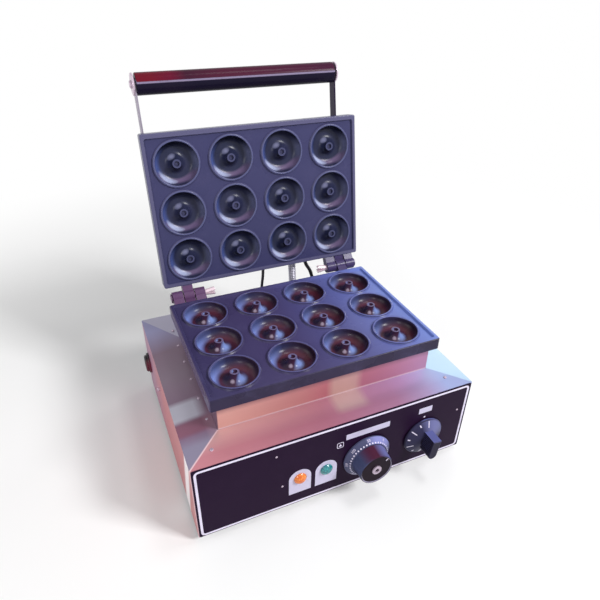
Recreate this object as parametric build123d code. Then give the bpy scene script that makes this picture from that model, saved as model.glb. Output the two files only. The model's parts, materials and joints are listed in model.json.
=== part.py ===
from build123d import *
from math import cos, radians, sin, tan
import os

# Table-top donut machine: a stainless casing with a control panel, a cast plate of ring cavities
# on a raised collar, and a hinged lid with a second plate of the same casting and a bar handle.
# Sizes are in millimetres and angles in degrees. Working axes: x to the right, y to the rear and
# z up from the floor, with x = y = 0 at the centre of the cavity grid.

# Casing
base_width = 346.6
base_depth = 283.7
base_height = 107.5
front_deck = 32.0           # front panel's face to the plate's front edge
rear_deck = 59.6            # plate's rear edge to the rear wall
side_deck = 32.7            # plate's side to the side wall
wall_bend = 2.4             # outer radius of the walls' rear corners
sheet = 1.2
sheet_gap = 0.15            # between sheets that lie side by side
hip_rise = 4.6              # from the casing's top edge to the collar
skirt_height = 14.0         # the cover's turned-down edge
tray_lip = 12.0             # the bottom plate's turned-up edge
panel_return = 15.0         # the front panel's folded sides
hole_play = 0.2             # radial room of a screw in a sheet
vent_count = 9
vent_length = 46.0
vent_width = 5.0
vent_pitch = 14.0

# Collar that carries the lower plate
collar_height = 33.6
overhang_side = 7.7         # plate edge past the collar
overhang_front = 6.9
overhang_rear = 6.9
collar_seat = 9.0           # inward flange under the plate
collar_foot = 12.0          # outward flange under the cover
collar_bend = 1.5           # outer radius of the collar's upright corners
rivet_count = 5             # along each side of the collar
rivet_front_inset = 20.8    # first and last rivet from the collar's ends
rivet_rear_inset = 15.1
rivet_out = 6.4             # rivet row to the collar's wall
rivet_radius = 1.0
rivet_head_radius = 1.6
rivet_head = 0.4

# Feet and pillars
foot_height = 8.0
foot_radius = 11.0
foot_taper = 2.0
foot_recess = 4.0
pillar_radius = 7.0
front_pillar_inset_x = 27.6
front_pillar_inset_y = 17.1
rear_pillar_inset_x = 34.9
rear_pillar_inset_y = 45.9

# Screws
screw_radius = 1.5
screw_head_radius = 2.7
screw_head = 1.3
screw_length = 8.0
recess_width = 0.7
recess_depth = 0.6
head_round = 0.6            # rounded share of a head's height
thread_play = 0.05          # radial room of a screw in its tapped hole
blind_room = 1.0            # from a screw's or a shaft's end to the bottom of its hole
low_head_radius = 2.7
low_head = 0.5
wall_screw_inset = 60.0     # rear wall screws from the corners
earth_screw_inset = 107.4   # left wall screw from the rear wall
earth_screw_rise = 69.5
earth_screw_head = 3.0
cover_head_radius = 2.0

# Cast plates
columns = 4
rows = 3
edge_side = 4.6             # plate's edges past the cells of the cavity grid
edge_front = 7.0
edge_rear = 3.9
cavity_land = 3.2           # between neighbouring lips, above their flared feet
plate_corner = 2.6
plate_floor = 2.3           # metal under the cavities
rim_width = 5.0
rim_front = 6.4             # the rim's width along the plate's front
rim_height = 2.8
rim_bevel = 0.9
rim_draft = 20.0
edge_round = 1.2
lip_width = 2.6
lip_flare = 1.2             # lip's foot past its upper part
post_radius = 5.35
post_rise = 1.6             # posts' tops above the land
channel_share = 0.93        # a cavity's depth as a share of its section's radius
dimple_radius = 3.2
dimple_floor_radius = 2.6
dimple_depth = 2.4
plate_screw_share = 0.6     # plate fixings' place across the collar's seat
plate_screw_grip = 7.0

# Hinge
hinge_setback = 14.5        # axis behind the plate's rear edge
closed_gap = 0.6            # between the two rims when the lid is shut
lid_angle = 99.6            # from shut to resting open
barrel_radius = 8.0
pin_radius = 4.0
pin_play = 0.05
knuckle_pitch = 14.6
knuckle_gap = 1.3
hinge_inset = 29.1          # plate's side to the middle of a hinge
heel_gap = 0.3              # stop heel to the other plate's rear edge, lid open
heel_start = 0.8
heel_width = 6.8
arm_root = 9.0
pin_head_radius = 6.0
pin_head = 1.5
leg_length = 14.5
leg_root = 1.0              # legs' start inside the pin
leg_radius = 3.6
leg_spread = 8.0

# Heating behind each plate
heater_radius = 4.0
heater_seat = 0.05          # heater to plate, and clamp to heater
heater_rear_gap = 24.6      # collar's rear to the last heater run
heater_side_gap = 10.9      # collar's side to the heater's tails
heater_tail = 26.0
heater_edge = 1.0           # heater's turns to the pad's edge
tail_bend = 11.0
clamp_thickness = 2.0
pad_thickness = 12.0
pad_gap = 7.0               # heater's tails and outer runs to the pad's edge
shield_lip = 9.0
bolt_radius = 2.5
bolt_head_radius = 4.6
bolt_head = 3.5
bolt_grip = 7.5
standoff_radius = 5.0

# Lid
cover_side = 10.6           # plate edge past the lid cover
cover_front = 7.0
cover_rear = 8.5
cover_height = 45.0
cover_round = 6.0
arm_thickness = 2.0
arm_width = 14.0
arm_length = 88.6           # arms along the cover's sides
arm_screw_reach = (44.6, 76.6)
handle_reach = 53.1         # plate front edge to the bar's axis
handle_lift = 30.4          # plate back to the bar's axis
grip_radius = 13.0
grip_round = 1.6
grip_play = 0.2
rod_radius = 3.0
rod_play = 0.15
end_cap = 2.0               # discs that close the grip outside the arms
end_cap_round = 0.8
end_nut_radius = 4.6
end_nut = 2.4
end_nut_seat = 1.2          # rod's end inside its nut

# Control panel
overlay = 0.6
overlay_side = 0.8          # overlay's edges from the casing's edges
overlay_top = 0.8
overlay_foot = 0.3
overlay_corner = 2.0
amber_to_green = 32.8
green_to_dial = 52.25
lamp_rise = 41.5            # heights on the panel are from the casing's bottom
lamp_radius = 6.0
lens_radius = 7.5
lens_flange = 1.6
lens_height = 5.4
lamp_length = 24.0
lamp_nut_radius = 9.0
lamp_nut = 4.0
dial_to_timer = 78.85
dial_rise = 42.9
dial_radius = 30.5
dial_rim = 1.6
dial_thickness = 7.0
dial_face_radius = 24.0
knob_depth = 25.2           # panel overlay to the temperature knob's front
knob_base_radius = 22.2
knob_radius = 20.8
knob_edge = 1.0
knob_recess = 0.8
ring_radius = 6.0
ring_bore = 2.8
ring_height = 1.8
ring_bevel = 0.4
timer_inset = 62.7          # timer from the panel's right end
timer_rise = 43.8
timer_radius = 26.8
timer_rim = 2.6
timer_bevel = 1.2
timer_hub_radius = 9.0
timer_cone = 7.0            # hub's face in front of the skirt's rim
timer_depth = 27.4
timer_rest = 9.0            # timer knob's turn at rest, clockwise
grip_bar_width = 11.6
grip_bar_top = 12.9         # grip bar's reach above and below the spindle
grip_bar_foot = 15.0
grip_bar_round = 1.0
groove_count = 7            # on each flank of the grip bar
groove_pitch = 2.4
groove_width = 0.7
groove_depth = 0.4
knob_clearance = 1.0        # overlay to the turning skirts
spindle_radius = 3.0
spindle_play = 0.05
spindle_root = 8.0          # spindle's length inside its control
spindle_seat = 16.0         # spindle's length inside its knob
boss_radius = 5.5
control_size = 36.0
control_depth = 28.0
control_screw_offset = 12.5
panel_rivet_radius = 0.8
panel_rivet_head_radius = 1.3
left_rivets = ((28.0, 88.5), (21.6, 37.7))      # left of the amber lamp, and height
right_rivet = (14.5, 67.6)                      # from the panel's right end, and height

# Sensor and wiring
bulb_radius = 3.0
bulb_length = 84.0
bulb_gap = 4.0              # heater's turns to the bulb
tube_radius = 1.0
wire_radius = 1.25
wire_end_gap = 0.2
block_length = 64.0
block_width = 22.0
block_height = 18.0
block_side_gap = 51.3       # left wall to the terminal block
block_setback = 58.1        # rear wall to the block's front
block_ways = 5
block_way_pitch = 12.0
gland_inset = 21.6          # gland's axis from the rear wall
gland_rise = 48.5
gland_reach = 6.5
gland_flange_radius = 14.5
gland_flange = 3.0
gland_chamfer = 1.0
gland_nose = 1.5
gland_dome_radius = 12.0
gland_tip_radius = 10.5
gland_thread_radius = 8.0
gland_thread = 10.0
gland_bore = 4.25
gland_nut_radius = 12.0
gland_nut_thickness = 4.0

# Conduit and leads between casing and lid
conduit_x = 46.6
conduit_radius = 5.6
conduit_groove = 0.7
conduit_bore = 4.0
conduit_pitch = 2.6
conduit_bend = 150.0
fitting_radius = 9.0
fitting_height = 7.0
fitting_lip = 2.0           # conduit's seat inside its fitting
lead_tail = 9.0             # lead's length inside casing and lid
least_bend = 6.0            # least bend of a lead, in lead radii
bend_share = 0.45           # of the shorter run beside a bend
earth_lead_radius = 2.0
earth_lead_lid_x = 3.4
earth_lead_base_x = -3.5
earth_lead_drop = 16.0      # straight runs at a lead's two ends
earth_lead_rise = 20.0
sensor_lead_radius = 2.6
sensor_lead_lid_x = 64.0
sensor_lead_base_x = 81.0
sensor_lead_drop = 14.0
sensor_lead_rise = 30.0
grommet_radius = 6.0
grommet_flange = 2.0
grommet_neck_radius = 4.4
grommet_play = 0.05
entry_lift = 9.5            # plate back to the conduit's and leads' axes at the lid

# Places worked out from the sizes above
half_width = base_width / 2
plate_width = base_width - 2 * side_deck
plate_depth = base_depth - front_deck - rear_deck
pitch_x = (plate_width - 2 * edge_side) / columns
pitch_y = (plate_depth - edge_front - edge_rear) / rows
plate_front = rows * pitch_y / 2 + edge_front
plate_rear = plate_depth - plate_front
base_front = -plate_front - front_deck
base_rear = base_front + base_depth
mouth_radius = (min(pitch_x, pitch_y) - cavity_land) / 2 - lip_width
channel_radius = (mouth_radius - post_radius) / 2
channel_centre = (mouth_radius + post_radius) / 2
channel_depth = channel_share * channel_radius
slab = channel_depth + plate_floor
z_bottom = foot_height
z_edge = z_bottom + base_height
z_collar = z_edge + hip_rise
z_seat = z_collar + collar_height
z_plane = z_seat + slab
z_hinge = z_plane + rim_height + closed_gap / 2
y_hinge = plate_rear + hinge_setback
z_lid_back = 2 * z_hinge - z_seat
z_lid_top = z_lid_back + cover_height
collar_half = plate_width / 2 - overhang_side
collar_front = -plate_front + overhang_front
collar_rear = plate_rear - overhang_rear
panel_face = base_front - overlay
tray_top = z_bottom + sheet
cover_half = plate_width / 2 - cover_side
lid_front = -plate_front + cover_front
lid_rear = plate_rear - cover_rear
bar_y = -plate_front - handle_reach
bar_z = z_lid_back + handle_lift
arm_outer = cover_half + arm_thickness
lip_radius = lip_width / 2
hinge_x = plate_width / 2 - hinge_inset
heater_spacing = 2 * (collar_rear - heater_rear_gap) / 3
heater_tail_x = collar_half - heater_side_gap
pad_half_x = heater_tail_x - heater_radius - pad_gap
pad_half_y = 1.5 * heater_spacing + heater_radius + pad_gap
heater_half = pad_half_x - heater_edge - heater_radius
bulb_x = heater_half + heater_radius + bulb_gap + bulb_radius
arm_tail_y = lid_front + arm_length
timer_x = half_width - timer_inset
dial_x = timer_x - dial_to_timer
green_x = dial_x - green_to_dial
amber_x = green_x - amber_to_green
block_left = half_width - block_side_gap
block_front_y = base_rear - block_setback
z_heater = z_seat - heater_seat - heater_radius
z_clamp = z_heater - heater_radius - heater_seat
z_pad = z_clamp - clamp_thickness
z_shield = z_pad - pad_thickness
open_cos = cos(radians(lid_angle))
open_sin = sin(radians(lid_angle))
bolt_spots = [(x, y) for x in (-pitch_x, pitch_x) for y in (-heater_spacing, heater_spacing)]
plate_screw_x = collar_half - plate_screw_share * collar_seat
plate_screw_spots = [(x, y) for x in (-plate_screw_x, plate_screw_x) for y in (-pitch_y / 2, pitch_y / 2)]
cavity_spots = GridLocations(pitch_x, pitch_y, columns, rows)
front_pillar_x = half_width - front_pillar_inset_x
rear_pillar_x = half_width - rear_pillar_inset_x
pillar_spots = [(x, base_front + front_pillar_inset_y) for x in (-front_pillar_x, front_pillar_x)]
pillar_spots += [(x, base_rear - rear_pillar_inset_y) for x in (-rear_pillar_x, rear_pillar_x)]


def box(x0, x1, y0, y1, z0, z1):
    """A block between two corners."""
    return Pos((x0 + x1) / 2, (y0 + y1) / 2, (z0 + z1) / 2) * Box(abs(x1 - x0), abs(y1 - y0), abs(z1 - z0))


def rod(start, end, radius):
    """A round bar between two points."""
    start = Vector(start)
    end = Vector(end)
    return extrude(Plane(start, z_dir=end - start) * Circle(radius), (end - start).length)


def tube(points, radius, bends):
    """A round tube along straight runs joined by tangent arcs."""
    path = FilletPolyline(*points, radius=bends)
    return sweep(Plane(path @ 0, z_dir=path % 0) * Circle(radius), path=path)


def turned(profile, place):
    """A body turned about the place's z axis from (radius, height) points."""
    return place * revolve(Plane.XZ * make_face(Polyline(*profile, close=True)), Axis.Z)


def opened(shape):
    """A lid piece drawn shut, swung to its resting open place."""
    return Pos(0, y_hinge, z_hinge) * Rot(-lid_angle, 0, 0) * Pos(0, -y_hinge, -z_hinge) * shape


def turned_over(shape):
    """A piece of the lower plate's stack, turned over onto the shut lid."""
    return Pos(0, 0, z_hinge) * Rot(0, 180, 0) * Pos(0, 0, -z_hinge) * shape


def opened_point(y, z):
    """A point of the shut lid, in the y and z of the open lid."""
    dy = y - y_hinge
    dz = z - z_hinge
    return y_hinge + dy * open_cos + dz * open_sin, z_hinge - dy * open_sin + dz * open_cos


def facing(point, normal, x_dir=(1, 0, 0)):
    """A place on a surface, with its z axis along the outward normal."""
    return Location(Plane(point, x_dir=x_dir, z_dir=normal))


def pan_screw(length=screw_length, head_radius=screw_head_radius, head_height=screw_head):
    """A screw with a domed head and a cross recess, its seat at z = 0."""
    head = extrude(Circle(head_radius), head_height)
    head = fillet(head.edges().group_by(Axis.Z)[-1], screw_head * head_round)
    screw = head + Pos(0, 0, -length / 2) * Cylinder(screw_radius, length)
    bar = Box(head_radius, recess_width, 2 * recess_depth)
    return screw - Pos(0, 0, head_height) * (bar + Rot(0, 0, 90) * bar)


def low_screw(length=screw_length):
    """A thin-headed screw that lies flush in the overlay, its seat at z = 0."""
    return Pos(0, 0, low_head / 2) * Cylinder(low_head_radius, low_head) \
        + Pos(0, 0, -length / 2) * Cylinder(screw_radius, length)


def rivet(radius, head_radius, depth):
    """A low domed rivet with its seat at z = 0."""
    head = extrude(Circle(head_radius), rivet_head)
    head = fillet(head.edges().group_by(Axis.Z)[-1], rivet_head * head_round)
    return head + Pos(0, 0, -depth / 2) * Cylinder(radius, depth)


def screw_hole(depth, radius=screw_radius + hole_play):
    """The hole for a screw whose seat is at z = 0."""
    return Cylinder(radius, 2 * depth)


def group(pieces):
    """Separate pieces of one kind, kept together."""
    return Compound([solid for piece in pieces for solid in piece.solids()])


# Hipped top: four sloping faces between the casing's top edge and the collar

def casing_block(inset, bend, low, high):
    """The casing's outline, inset on every side and rounded at its rear corners, as a block."""
    block = box(inset - half_width, half_width - inset, base_front + inset, base_rear - inset, low, high)
    return fillet(block.edges().filter_by(Axis.Z).group_by(Axis.Y)[-1], bend)


def under_top(drop):
    """Everything under the hipped top, lowered by drop."""
    depth = collar_rear - collar_front
    lower = Pos(0, (base_front + base_rear) / 2, z_edge) * Rectangle(base_width, base_depth)
    upper = Pos(0, (collar_front + collar_rear) / 2, z_collar) * Rectangle(2 * collar_half, depth)
    block = box(-half_width, half_width, base_front, base_rear, 0, z_edge)
    return Pos(0, 0, -drop) * (block + loft([lower, upper], ruled=True))


def top_place(x, y, side):
    """A place on the hipped top's front, rear, left or right face."""
    if side in ("left", "right"):
        sign = -1 if side == "left" else 1
        run = half_width - collar_half
        height = z_collar - hip_rise * (abs(x) - collar_half) / run
        return facing((x, y, height), (sign * hip_rise, 0, run))
    run = collar_front - base_front if side == "front" else base_rear - collar_rear
    away = collar_front - y if side == "front" else y - collar_rear
    sign = -1 if side == "front" else 1
    return facing((x, y, z_collar - hip_rise * away / run), (0, sign * hip_rise, run))


top_body = under_top(0)
pillar_places = [top_place(x, y, "front" if y < 0 else "rear") for x, y in pillar_spots]
rivet_places = []
for row_side in ("left", "right"):
    row_x = (collar_half + rivet_out) * (-1 if row_side == "left" else 1)
    row_length = collar_rear - collar_front - rivet_front_inset - rivet_rear_inset
    for step in range(rivet_count):
        row_y = collar_rear - rivet_rear_inset - row_length * step / (rivet_count - 1)
        rivet_places.append(top_place(row_x, row_y, row_side))


# Where the conduit and the leads meet the lid and the casing

entry_y, entry_z = opened_point(lid_rear, z_lid_back + entry_lift)
entry_out = Vector(0, open_cos, -open_sin)
rear_run = base_rear - collar_rear
rear_up = Vector(0, hip_rise, rear_run).normalized()


def landing(x, middle_z):
    """Where a line from the lid's entry, turned square to the rear slope at middle_z, meets the slope."""
    reach = (entry_z - middle_z) / -entry_out.Z
    knee = Vector(x, entry_y + reach * entry_out.Y, middle_z)
    surface = Vector(0, collar_rear, z_collar)
    fall = (knee - surface).dot(rear_up)
    return knee, knee - rear_up * fall


conduit_knee, conduit_foot = landing(conduit_x, (entry_z + z_edge) / 2)
conduit_entry = Vector(conduit_x, entry_y, entry_z)
lead_foot_y = conduit_foot.Y
lead_foot_z = conduit_foot.Z


def lead_ends(lid_x, base_x):
    """A lead's two entries: at the lid's rear wall and at the rear slope."""
    return Vector(lid_x, entry_y, entry_z), Vector(base_x, lead_foot_y, lead_foot_z)


earth_ends = lead_ends(earth_lead_lid_x, earth_lead_base_x)
sensor_ends = lead_ends(sensor_lead_lid_x, sensor_lead_base_x)
lid_entry_places = [facing(ends[0], entry_out) for ends in (earth_ends, sensor_ends)]
base_entry_places = [facing(ends[1], rear_up) for ends in (earth_ends, sensor_ends)]


# Casing

def grommet_holes(places):
    """The holes in a sheet for the leads' grommets."""
    return [place * Cylinder(grommet_neck_radius + grommet_play, 4 * sheet) for place in places]


def wall_screw_places():
    """Screws from the rear wall into the tray and one in the left wall, seats on the outer faces."""
    low = z_bottom + tray_lip / 2
    places = [facing((side * (half_width - wall_screw_inset), base_rear, low), (0, 1, 0)) for side in (-1, 1)]
    earth_y = base_rear - earth_screw_inset
    places.append(facing((-half_width, earth_y, z_bottom + earth_screw_rise), (-1, 0, 0), (0, 1, 0)))
    return places


def make_wall_screws():
    """The rear wall's screws and the taller earth screw in the left wall."""
    *rear, earth = wall_screw_places()
    screws = [place * pan_screw() for place in rear]
    return group(screws + [earth * pan_screw(head_height=earth_screw_head)])


def gland_place():
    """The cord gland's seat on the left wall, its axis pointing out."""
    return facing((-half_width, base_rear - gland_inset, z_bottom + gland_rise), (-1, 0, 0), (0, 1, 0))


def make_body_wrap():
    """The left, rear and right walls as one folded sheet."""
    inner = half_width - sheet
    wrap = casing_block(0, wall_bend, z_bottom, z_edge - sheet)
    wrap -= casing_block(sheet, wall_bend - sheet, 0, z_edge)
    wrap -= box(-inner, inner, base_front - sheet, base_front + 2 * sheet, 0, z_edge)
    wrap -= [place * screw_hole(screw_length) for place in wall_screw_places()]
    return wrap - gland_place() * Cylinder(gland_thread_radius + hole_play, 4 * sheet)


def make_top_cover():
    """The hipped cover, with its turned-down skirt inside the walls and an opening for the collar."""
    inset = sheet + sheet_gap
    low = z_edge - skirt_height
    skirt = casing_block(inset, wall_bend - sheet, low, z_collar)
    skirt -= casing_block(inset + sheet, wall_bend - sheet, 0, z_seat)
    cover = top_body - under_top(sheet)
    cover &= casing_block(0, wall_bend, z_edge - sheet, z_seat)
    cover += skirt & top_body
    opening = collar_half + sheet_gap
    cover -= box(-opening, opening, collar_front - sheet_gap, collar_rear + sheet_gap, 0, z_seat)
    cover -= [place * screw_hole(screw_length) for place in pillar_places]
    cover -= [place * screw_hole(3 * sheet, rivet_radius + hole_play) for place in rivet_places]
    conduit_seat = facing(conduit_foot, rear_up)
    cover -= conduit_seat * Cylinder(conduit_radius + hole_play, 4 * sheet)
    return cover - grommet_holes(base_entry_places)


def make_plate_collar():
    """The four-sided collar: an inward seat under the plate and a sloping foot under the cover."""
    inner = collar_half - sheet
    seat = collar_half - collar_seat
    foot = collar_half + collar_foot
    outside = box(-collar_half, collar_half, collar_front, collar_rear, 0, z_seat)
    outside = fillet(outside.edges().filter_by(Axis.Z), collar_bend)
    hollow = box(-inner, inner, collar_front + sheet, collar_rear - sheet, 0, z_seat - sheet)
    hollow = fillet(hollow.edges().filter_by(Axis.Z), collar_bend - sheet)
    walls = outside - hollow
    walls -= box(-seat, seat, collar_front + collar_seat, collar_rear - collar_seat, 0, z_seat)
    walls -= under_top(2 * sheet)
    flange = under_top(sheet) - under_top(2 * sheet)
    flange &= box(-foot, foot, collar_front - collar_foot, collar_rear + collar_foot, 0, z_seat)
    flange -= box(-inner, inner, collar_front + sheet, collar_rear - sheet, 0, z_seat)
    collar = walls + flange
    collar -= [place * screw_hole(3 * sheet, rivet_radius + hole_play) for place in rivet_places]
    return collar - [Pos(x, y, z_seat) * screw_hole(2 * sheet) for x, y in plate_screw_spots]


def make_bottom_plate():
    """The bottom tray with turned-up edges, vent slots and the foot screws' holes."""
    inset = sheet + sheet_gap
    tray = casing_block(inset, wall_bend - sheet, z_bottom, z_bottom + tray_lip)
    tray -= casing_block(inset + sheet, wall_bend - sheet, tray_top, z_edge)
    slot = extrude(Pos(0, 0, z_bottom - sheet) * SlotOverall(vent_length, vent_width, rotation=90), 4 * sheet)
    tray -= [place * slot for place in GridLocations(vent_pitch, vent_length, vent_count, 1)]
    tray -= [Pos(x, y, z_bottom) * screw_hole(2 * sheet) for x, y in pillar_spots]
    tray -= [place * screw_hole(screw_length) for place in wall_screw_places()]
    return tray - [place * screw_hole(3 * sheet) for place in block_screw_places()]


def make_front_panel():
    """The front sheet with folded sides and the controls' holes."""
    outer = half_width - sheet - sheet_gap
    low = z_bottom + tray_lip + sheet_gap
    high = z_edge - skirt_height - sheet_gap
    panel = box(-outer, outer, base_front, base_front + sheet, z_bottom, z_edge - sheet)
    for side in (-1, 1):
        panel += box(side * outer, side * (outer - sheet), base_front, base_front + panel_return, low, high)
    return panel - panel_holes(screw_radius + hole_play)


def panel_holes(fixing_radius):
    """The holes for lamps, controls, their fixings and the rivets, through panel or overlay."""
    depth = 4 * (sheet + overlay)
    holes = [place * Cylinder(lamp_radius + hole_play, depth) for place in lamp_places()]
    holes += [place * Cylinder(boss_radius + hole_play, depth) for place in control_places()]
    holes += [place * Cylinder(fixing_radius, depth) for place in control_screw_places()]
    return holes + [place * Cylinder(panel_rivet_radius + hole_play, depth) for place in panel_rivet_places()]


def panel_place(x, rise, y=base_front):
    """A place on the front panel, its z axis pointing out to the front."""
    return facing((x, y, z_bottom + rise), (0, -1, 0))


def lamp_places():
    """The amber and the green lamp."""
    return [panel_place(x, lamp_rise, panel_face) for x in (amber_x, green_x)]


def control_places():
    """The thermostat and the timer."""
    return [panel_place(dial_x, dial_rise, panel_face), panel_place(timer_x, timer_rise, panel_face)]


def control_screw_places():
    """Two fixings above and below each control, seats on the panel."""
    places = []
    for x, rise in ((dial_x, dial_rise), (timer_x, timer_rise)):
        for side in (-1, 1):
            places.append(panel_place(x, rise + side * control_screw_offset))
    return places


def panel_rivet_places():
    """Rivets that show on the overlay."""
    places = [panel_place(amber_x - left, rise, panel_face) for left, rise in left_rivets]
    inset, rise = right_rivet
    return places + [panel_place(half_width - inset, rise, panel_face)]


def make_panel_overlay():
    """The black film on the front panel."""
    width = base_width - 2 * overlay_side
    height = base_height - overlay_top - overlay_foot
    film = extrude(RectangleRounded(width, height, overlay_corner), overlay)
    film = panel_place(0, overlay_foot + height / 2) * film
    return film - panel_holes(low_head_radius + hole_play)


def make_support_pillars():
    """Four turned pillars between the bottom plate and the cover, tapped at both ends."""
    pillars = []
    for (x, y), place in zip(pillar_spots, pillar_places):
        pillar = rod((x, y, tray_top), (x, y, z_collar), pillar_radius) & under_top(sheet)
        pillar -= place * screw_hole(screw_length + blind_room, screw_radius + thread_play)
        pillar -= Pos(x, y, tray_top) * screw_hole(screw_length + blind_room, screw_radius + thread_play)
        pillars.append(pillar)
    return group(pillars)


def make_rubber_feet():
    """Four tapered feet with a recess for the screw head."""
    profile = ((screw_radius + hole_play, foot_recess), (screw_head_radius + hole_play, foot_recess),
               (screw_head_radius + hole_play, 0), (foot_radius - foot_taper, 0), (foot_radius, foot_height),
               (screw_radius + hole_play, foot_height))
    return group(turned(profile, Pos(x, y, 0)) for x, y in pillar_spots)


def make_foot_screws():
    """Screws from the feet's recesses up into the pillars."""
    length = foot_height - foot_recess + sheet + screw_length
    return group(facing((x, y, foot_recess), (0, 0, -1)) * pan_screw(length) for x, y in pillar_spots)


# Cast plate

def knuckle_section():
    """The barrel's web to the plate, in y and z from the cavity plane."""
    hinge_z = rim_height + closed_gap / 2
    top = (y_hinge - barrel_radius * 0.8, hinge_z + barrel_radius * 0.4)
    low = (y_hinge - barrel_radius * 0.2, hinge_z - barrel_radius * 0.95)
    root = plate_rear - edge_round - rim_bevel
    return Polyline((root, -arm_root), (root, 0), top, (y_hinge, hinge_z), low, close=True)


def heel_section():
    """The stop heel that meets the other plate's rear edge when the lid is open."""
    hinge_z = rim_height + closed_gap / 2
    reach = hinge_setback - heel_gap
    up = (-open_cos, open_sin)
    along = (open_sin, open_cos)
    corners = []
    for r, t in ((pin_radius, heel_start), (reach, heel_start), (reach, heel_start + heel_width),
                 (pin_radius, heel_start + heel_width)):
        corners.append((y_hinge + r * up[0] + t * along[0], hinge_z + r * up[1] + t * along[1]))
    return Polyline(*corners, close=True)


def make_casting(edge_screws):
    """One plate with its cavity side up and the cavity plane at z = 0."""
    depth = plate_front + plate_rear
    middle = (plate_rear - plate_front) / 2
    outline = Pos(0, middle) * RectangleRounded(plate_width, depth, plate_corner)
    inner = RectangleRounded(plate_width - 2 * rim_width, depth - rim_width - rim_front, 2 * rim_bevel)
    inner = Pos(0, middle + (rim_front - rim_width) / 2) * inner
    plate = extrude(Pos(0, 0, -slab) * outline, slab + rim_height)
    plate = fillet(plate.edges().group_by(Axis.Z)[-1], edge_round)
    plate -= extrude(inner, rim_height, taper=-rim_draft)
    lip_base = rim_height - lip_radius
    lip_outer = mouth_radius + lip_width
    lip_foot = lip_outer + lip_flare
    bead = Plane.XZ * make_face([
        Polyline((mouth_radius, lip_base), (mouth_radius, -plate_floor), (lip_foot, -plate_floor),
                 (lip_foot, 0), (lip_outer, lip_base)),
        ThreePointArc((lip_outer, lip_base), (mouth_radius + lip_radius, rim_height),
                      (mouth_radius, lip_base))])
    plate += [spot * revolve(bead, Axis.Z) for spot in cavity_spots]
    plate += [spot * Pos(0, 0, post_rise / 2) * Cylinder(channel_centre, post_rise) for spot in cavity_spots]
    arc_z = channel_radius - channel_depth
    dimple_z = post_rise - dimple_depth
    channel = Plane.XZ * make_face([
        Polyline((mouth_radius, arc_z), (mouth_radius, rim_height), (0, rim_height), (0, dimple_z),
                 (dimple_floor_radius, dimple_z), (dimple_radius, post_rise), (post_radius, post_rise),
                 (post_radius, arc_z)),
        ThreePointArc((post_radius, arc_z), (channel_centre, -channel_depth), (mouth_radius, arc_z))])
    plate -= [spot * revolve(channel, Axis.Z) for spot in cavity_spots]
    hinge_z = rim_height + closed_gap / 2
    width = knuckle_pitch - knuckle_gap
    for side, steps in ((-1, (-1, 1)), (1, (0,))):
        for step in steps:
            left = side * hinge_x + step * knuckle_pitch - width / 2
            knuckle = rod((left, y_hinge, hinge_z), (left + width, y_hinge, hinge_z), barrel_radius)
            knuckle += extrude(Plane.YZ.offset(left) * make_face(knuckle_section()), width)
            if step == 0:
                knuckle += extrude(Plane.YZ.offset(left) * make_face(heel_section()), width)
            bore = rod((left - knuckle_gap, y_hinge, hinge_z), (left + width + knuckle_gap, y_hinge, hinge_z),
                       pin_radius + pin_play)
            plate += knuckle - bore
    plate -= [Pos(x, y, -slab) * Cylinder(bolt_radius + thread_play, 2 * bolt_grip) for x, y in bolt_spots]
    if edge_screws:
        plate -= [Pos(x, y, -slab) * screw_hole(plate_screw_grip, screw_radius + thread_play)
                  for x, y in plate_screw_spots]
    return plate


def make_hinge_pins():
    """Two headed pins whose split inner ends are spread."""
    pins = []
    outer = hinge_x + 1.5 * knuckle_pitch
    inner = hinge_x - 1.5 * knuckle_pitch
    for side in (-1, 1):
        pin = rod((side * outer, 0, 0), (side * inner, 0, 0), pin_radius)
        pin += rod((side * (outer + pin_head), 0, 0), (side * outer, 0, 0), pin_head_radius)
        for half in (-1, 1):
            leg = rod((0, 0, 0), (-side * leg_length, 0, 0), leg_radius)
            leg &= Pos(0, 0, half * leg_radius) * Box(3 * leg_length, 2 * leg_radius, 2 * leg_radius)
            leg = Pos(side * (inner + leg_root), 0, 0) * Rot(0, side * half * leg_spread, 0) * leg
            pin += leg
        pins.append(Pos(0, y_hinge, z_hinge) * pin)
    return group(pins)


# Heating

def make_heater():
    """The tubular heater: four runs under the plate and two tails that turn down."""
    runs = [heater_spacing * step for step in (-1.5, -0.5, 0.5, 1.5)]
    z = z_heater
    points = [(-heater_tail_x, runs[0], z - heater_tail), (-heater_tail_x, runs[0], z)]
    points += [(heater_half, runs[0], z), (heater_half, runs[1], z), (-heater_half, runs[1], z)]
    points += [(-heater_half, runs[2], z), (heater_half, runs[2], z), (heater_half, runs[3], z)]
    points += [(-heater_tail_x, runs[3], z), (-heater_tail_x, runs[3], z - heater_tail)]
    turn = heater_spacing / 2 - sheet_gap
    return tube(points, heater_radius, [tail_bend] + [turn] * 6 + [tail_bend])


def make_heater_clamp():
    """The steel plate that presses the heater against the casting."""
    clamp = box(-pad_half_x, pad_half_x, -pad_half_y, pad_half_y, z_pad, z_clamp)
    hole = Pos(0, 0, z_pad) * Cylinder(bolt_radius + hole_play, 4 * clamp_thickness)
    return clamp - [Pos(x, y) * hole for x, y in bolt_spots]


def make_pad(hole_radius):
    """The insulation pad behind the clamp."""
    pad = box(-pad_half_x, pad_half_x, -pad_half_y, pad_half_y, z_shield, z_pad)
    return pad - [Pos(x, y, z_shield) * Cylinder(hole_radius, 4 * pad_thickness) for x, y in bolt_spots]


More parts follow.
